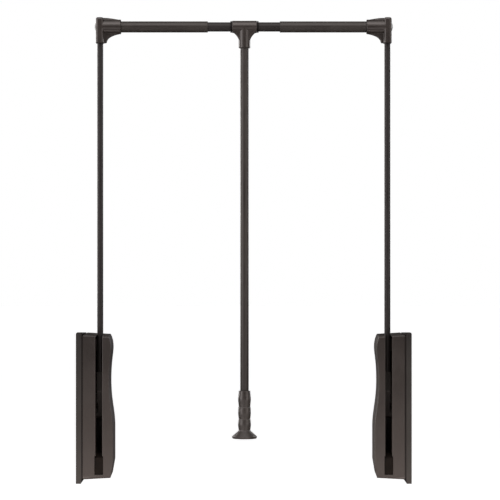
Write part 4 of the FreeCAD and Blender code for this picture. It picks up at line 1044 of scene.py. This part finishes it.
def pale_floor():
    """A wide plain floor well under the rod, which looks white and takes a shadow."""
    mesh = bpy.data.meshes.new("pale_floor")
    spots = ((-1, -1), (1, -1), (1, 1), (-1, 1))
    mesh.from_pydata([(x * FLOOR_REACH, y * FLOOR_REACH, FLOOR_Z) for x, y in spots], [], SQUARE)
    floor = new_piece("pale_floor", mesh)
    finish, tree, shader, place = blank_finish("pale floor")
    shade_of = tint(tree, noise(tree, place, 0.8, 2.0), colour(0.93, 0.93, 0.93), colour(0.96, 0.96, 0.96))
    feed(tree, shader.inputs["Base Color"], shade_of)
    shader.inputs["Roughness"].default_value = 0.9
    path = add(tree, "ShaderNodeLightPath")
    glow = maths(tree, "MAXIMUM", path.outputs["Is Camera Ray"], path.outputs["Is Glossy Ray"])
    shader.inputs["Emission Color"].default_value = colour(1.0, 1.0, 1.0)
    feed(tree, shader.inputs["Emission Strength"], maths(tree, "MULTIPLY", glow, FLOOR_GLOW))
    mesh.materials.append(finish)


def dark_card(name, corner, first, second):
    """A black card that only reflections see: one corner and its two sides."""
    corner, first, second = Vector(corner), Vector(first), Vector(second)
    mesh = bpy.data.meshes.new(name)
    mesh.from_pydata([corner, corner + first, corner + first + second, corner + second], [], SQUARE)
    card = new_piece(name, mesh)
    finish, tree, shader, place = blank_finish(name + " felt")
    felt = tint(tree, noise(tree, place, 3.0), colour(0.02, 0.02, 0.02), colour(0.03, 0.03, 0.03))
    feed(tree, shader.inputs["Base Color"], felt)
    shader.inputs["Roughness"].default_value = 1.0
    shader.inputs["Specular IOR Level"].default_value = 0.0
    mesh.materials.append(finish)
    card.visible_camera = False
    card.visible_diffuse = False
    card.visible_shadow = False


def studio():
    white_room()
    pale_floor()
    for panel in LAMPS:
        lamp(*panel)
    for card in CARDS:
        dark_card(*card)


def camera():
    """Level with the middle of the rod's drop, straight in front of it."""
    view = bpy.data.cameras.new("front camera")
    view.sensor_width = SENSOR_MM
    view.lens = LENS_MM
    view.shift_x = SIDE_SHIFT
    view.clip_end = SIGHT_END
    holder = bpy.data.objects.new("front camera", view)
    holder.location = CAMERA_PLACE
    holder.rotation_euler = (math.radians(90.0), 0.0, 0.0)
    bpy.context.scene.collection.objects.link(holder)
    bpy.context.scene.camera = holder
    bpy.context.scene.view_settings.view_transform = "Standard"


for side in SIDES:
    housing_pieces(side)
    drive_pieces(side)
    arm_pieces(side)
middle_pieces()
grip_pieces()
studio()
camera()
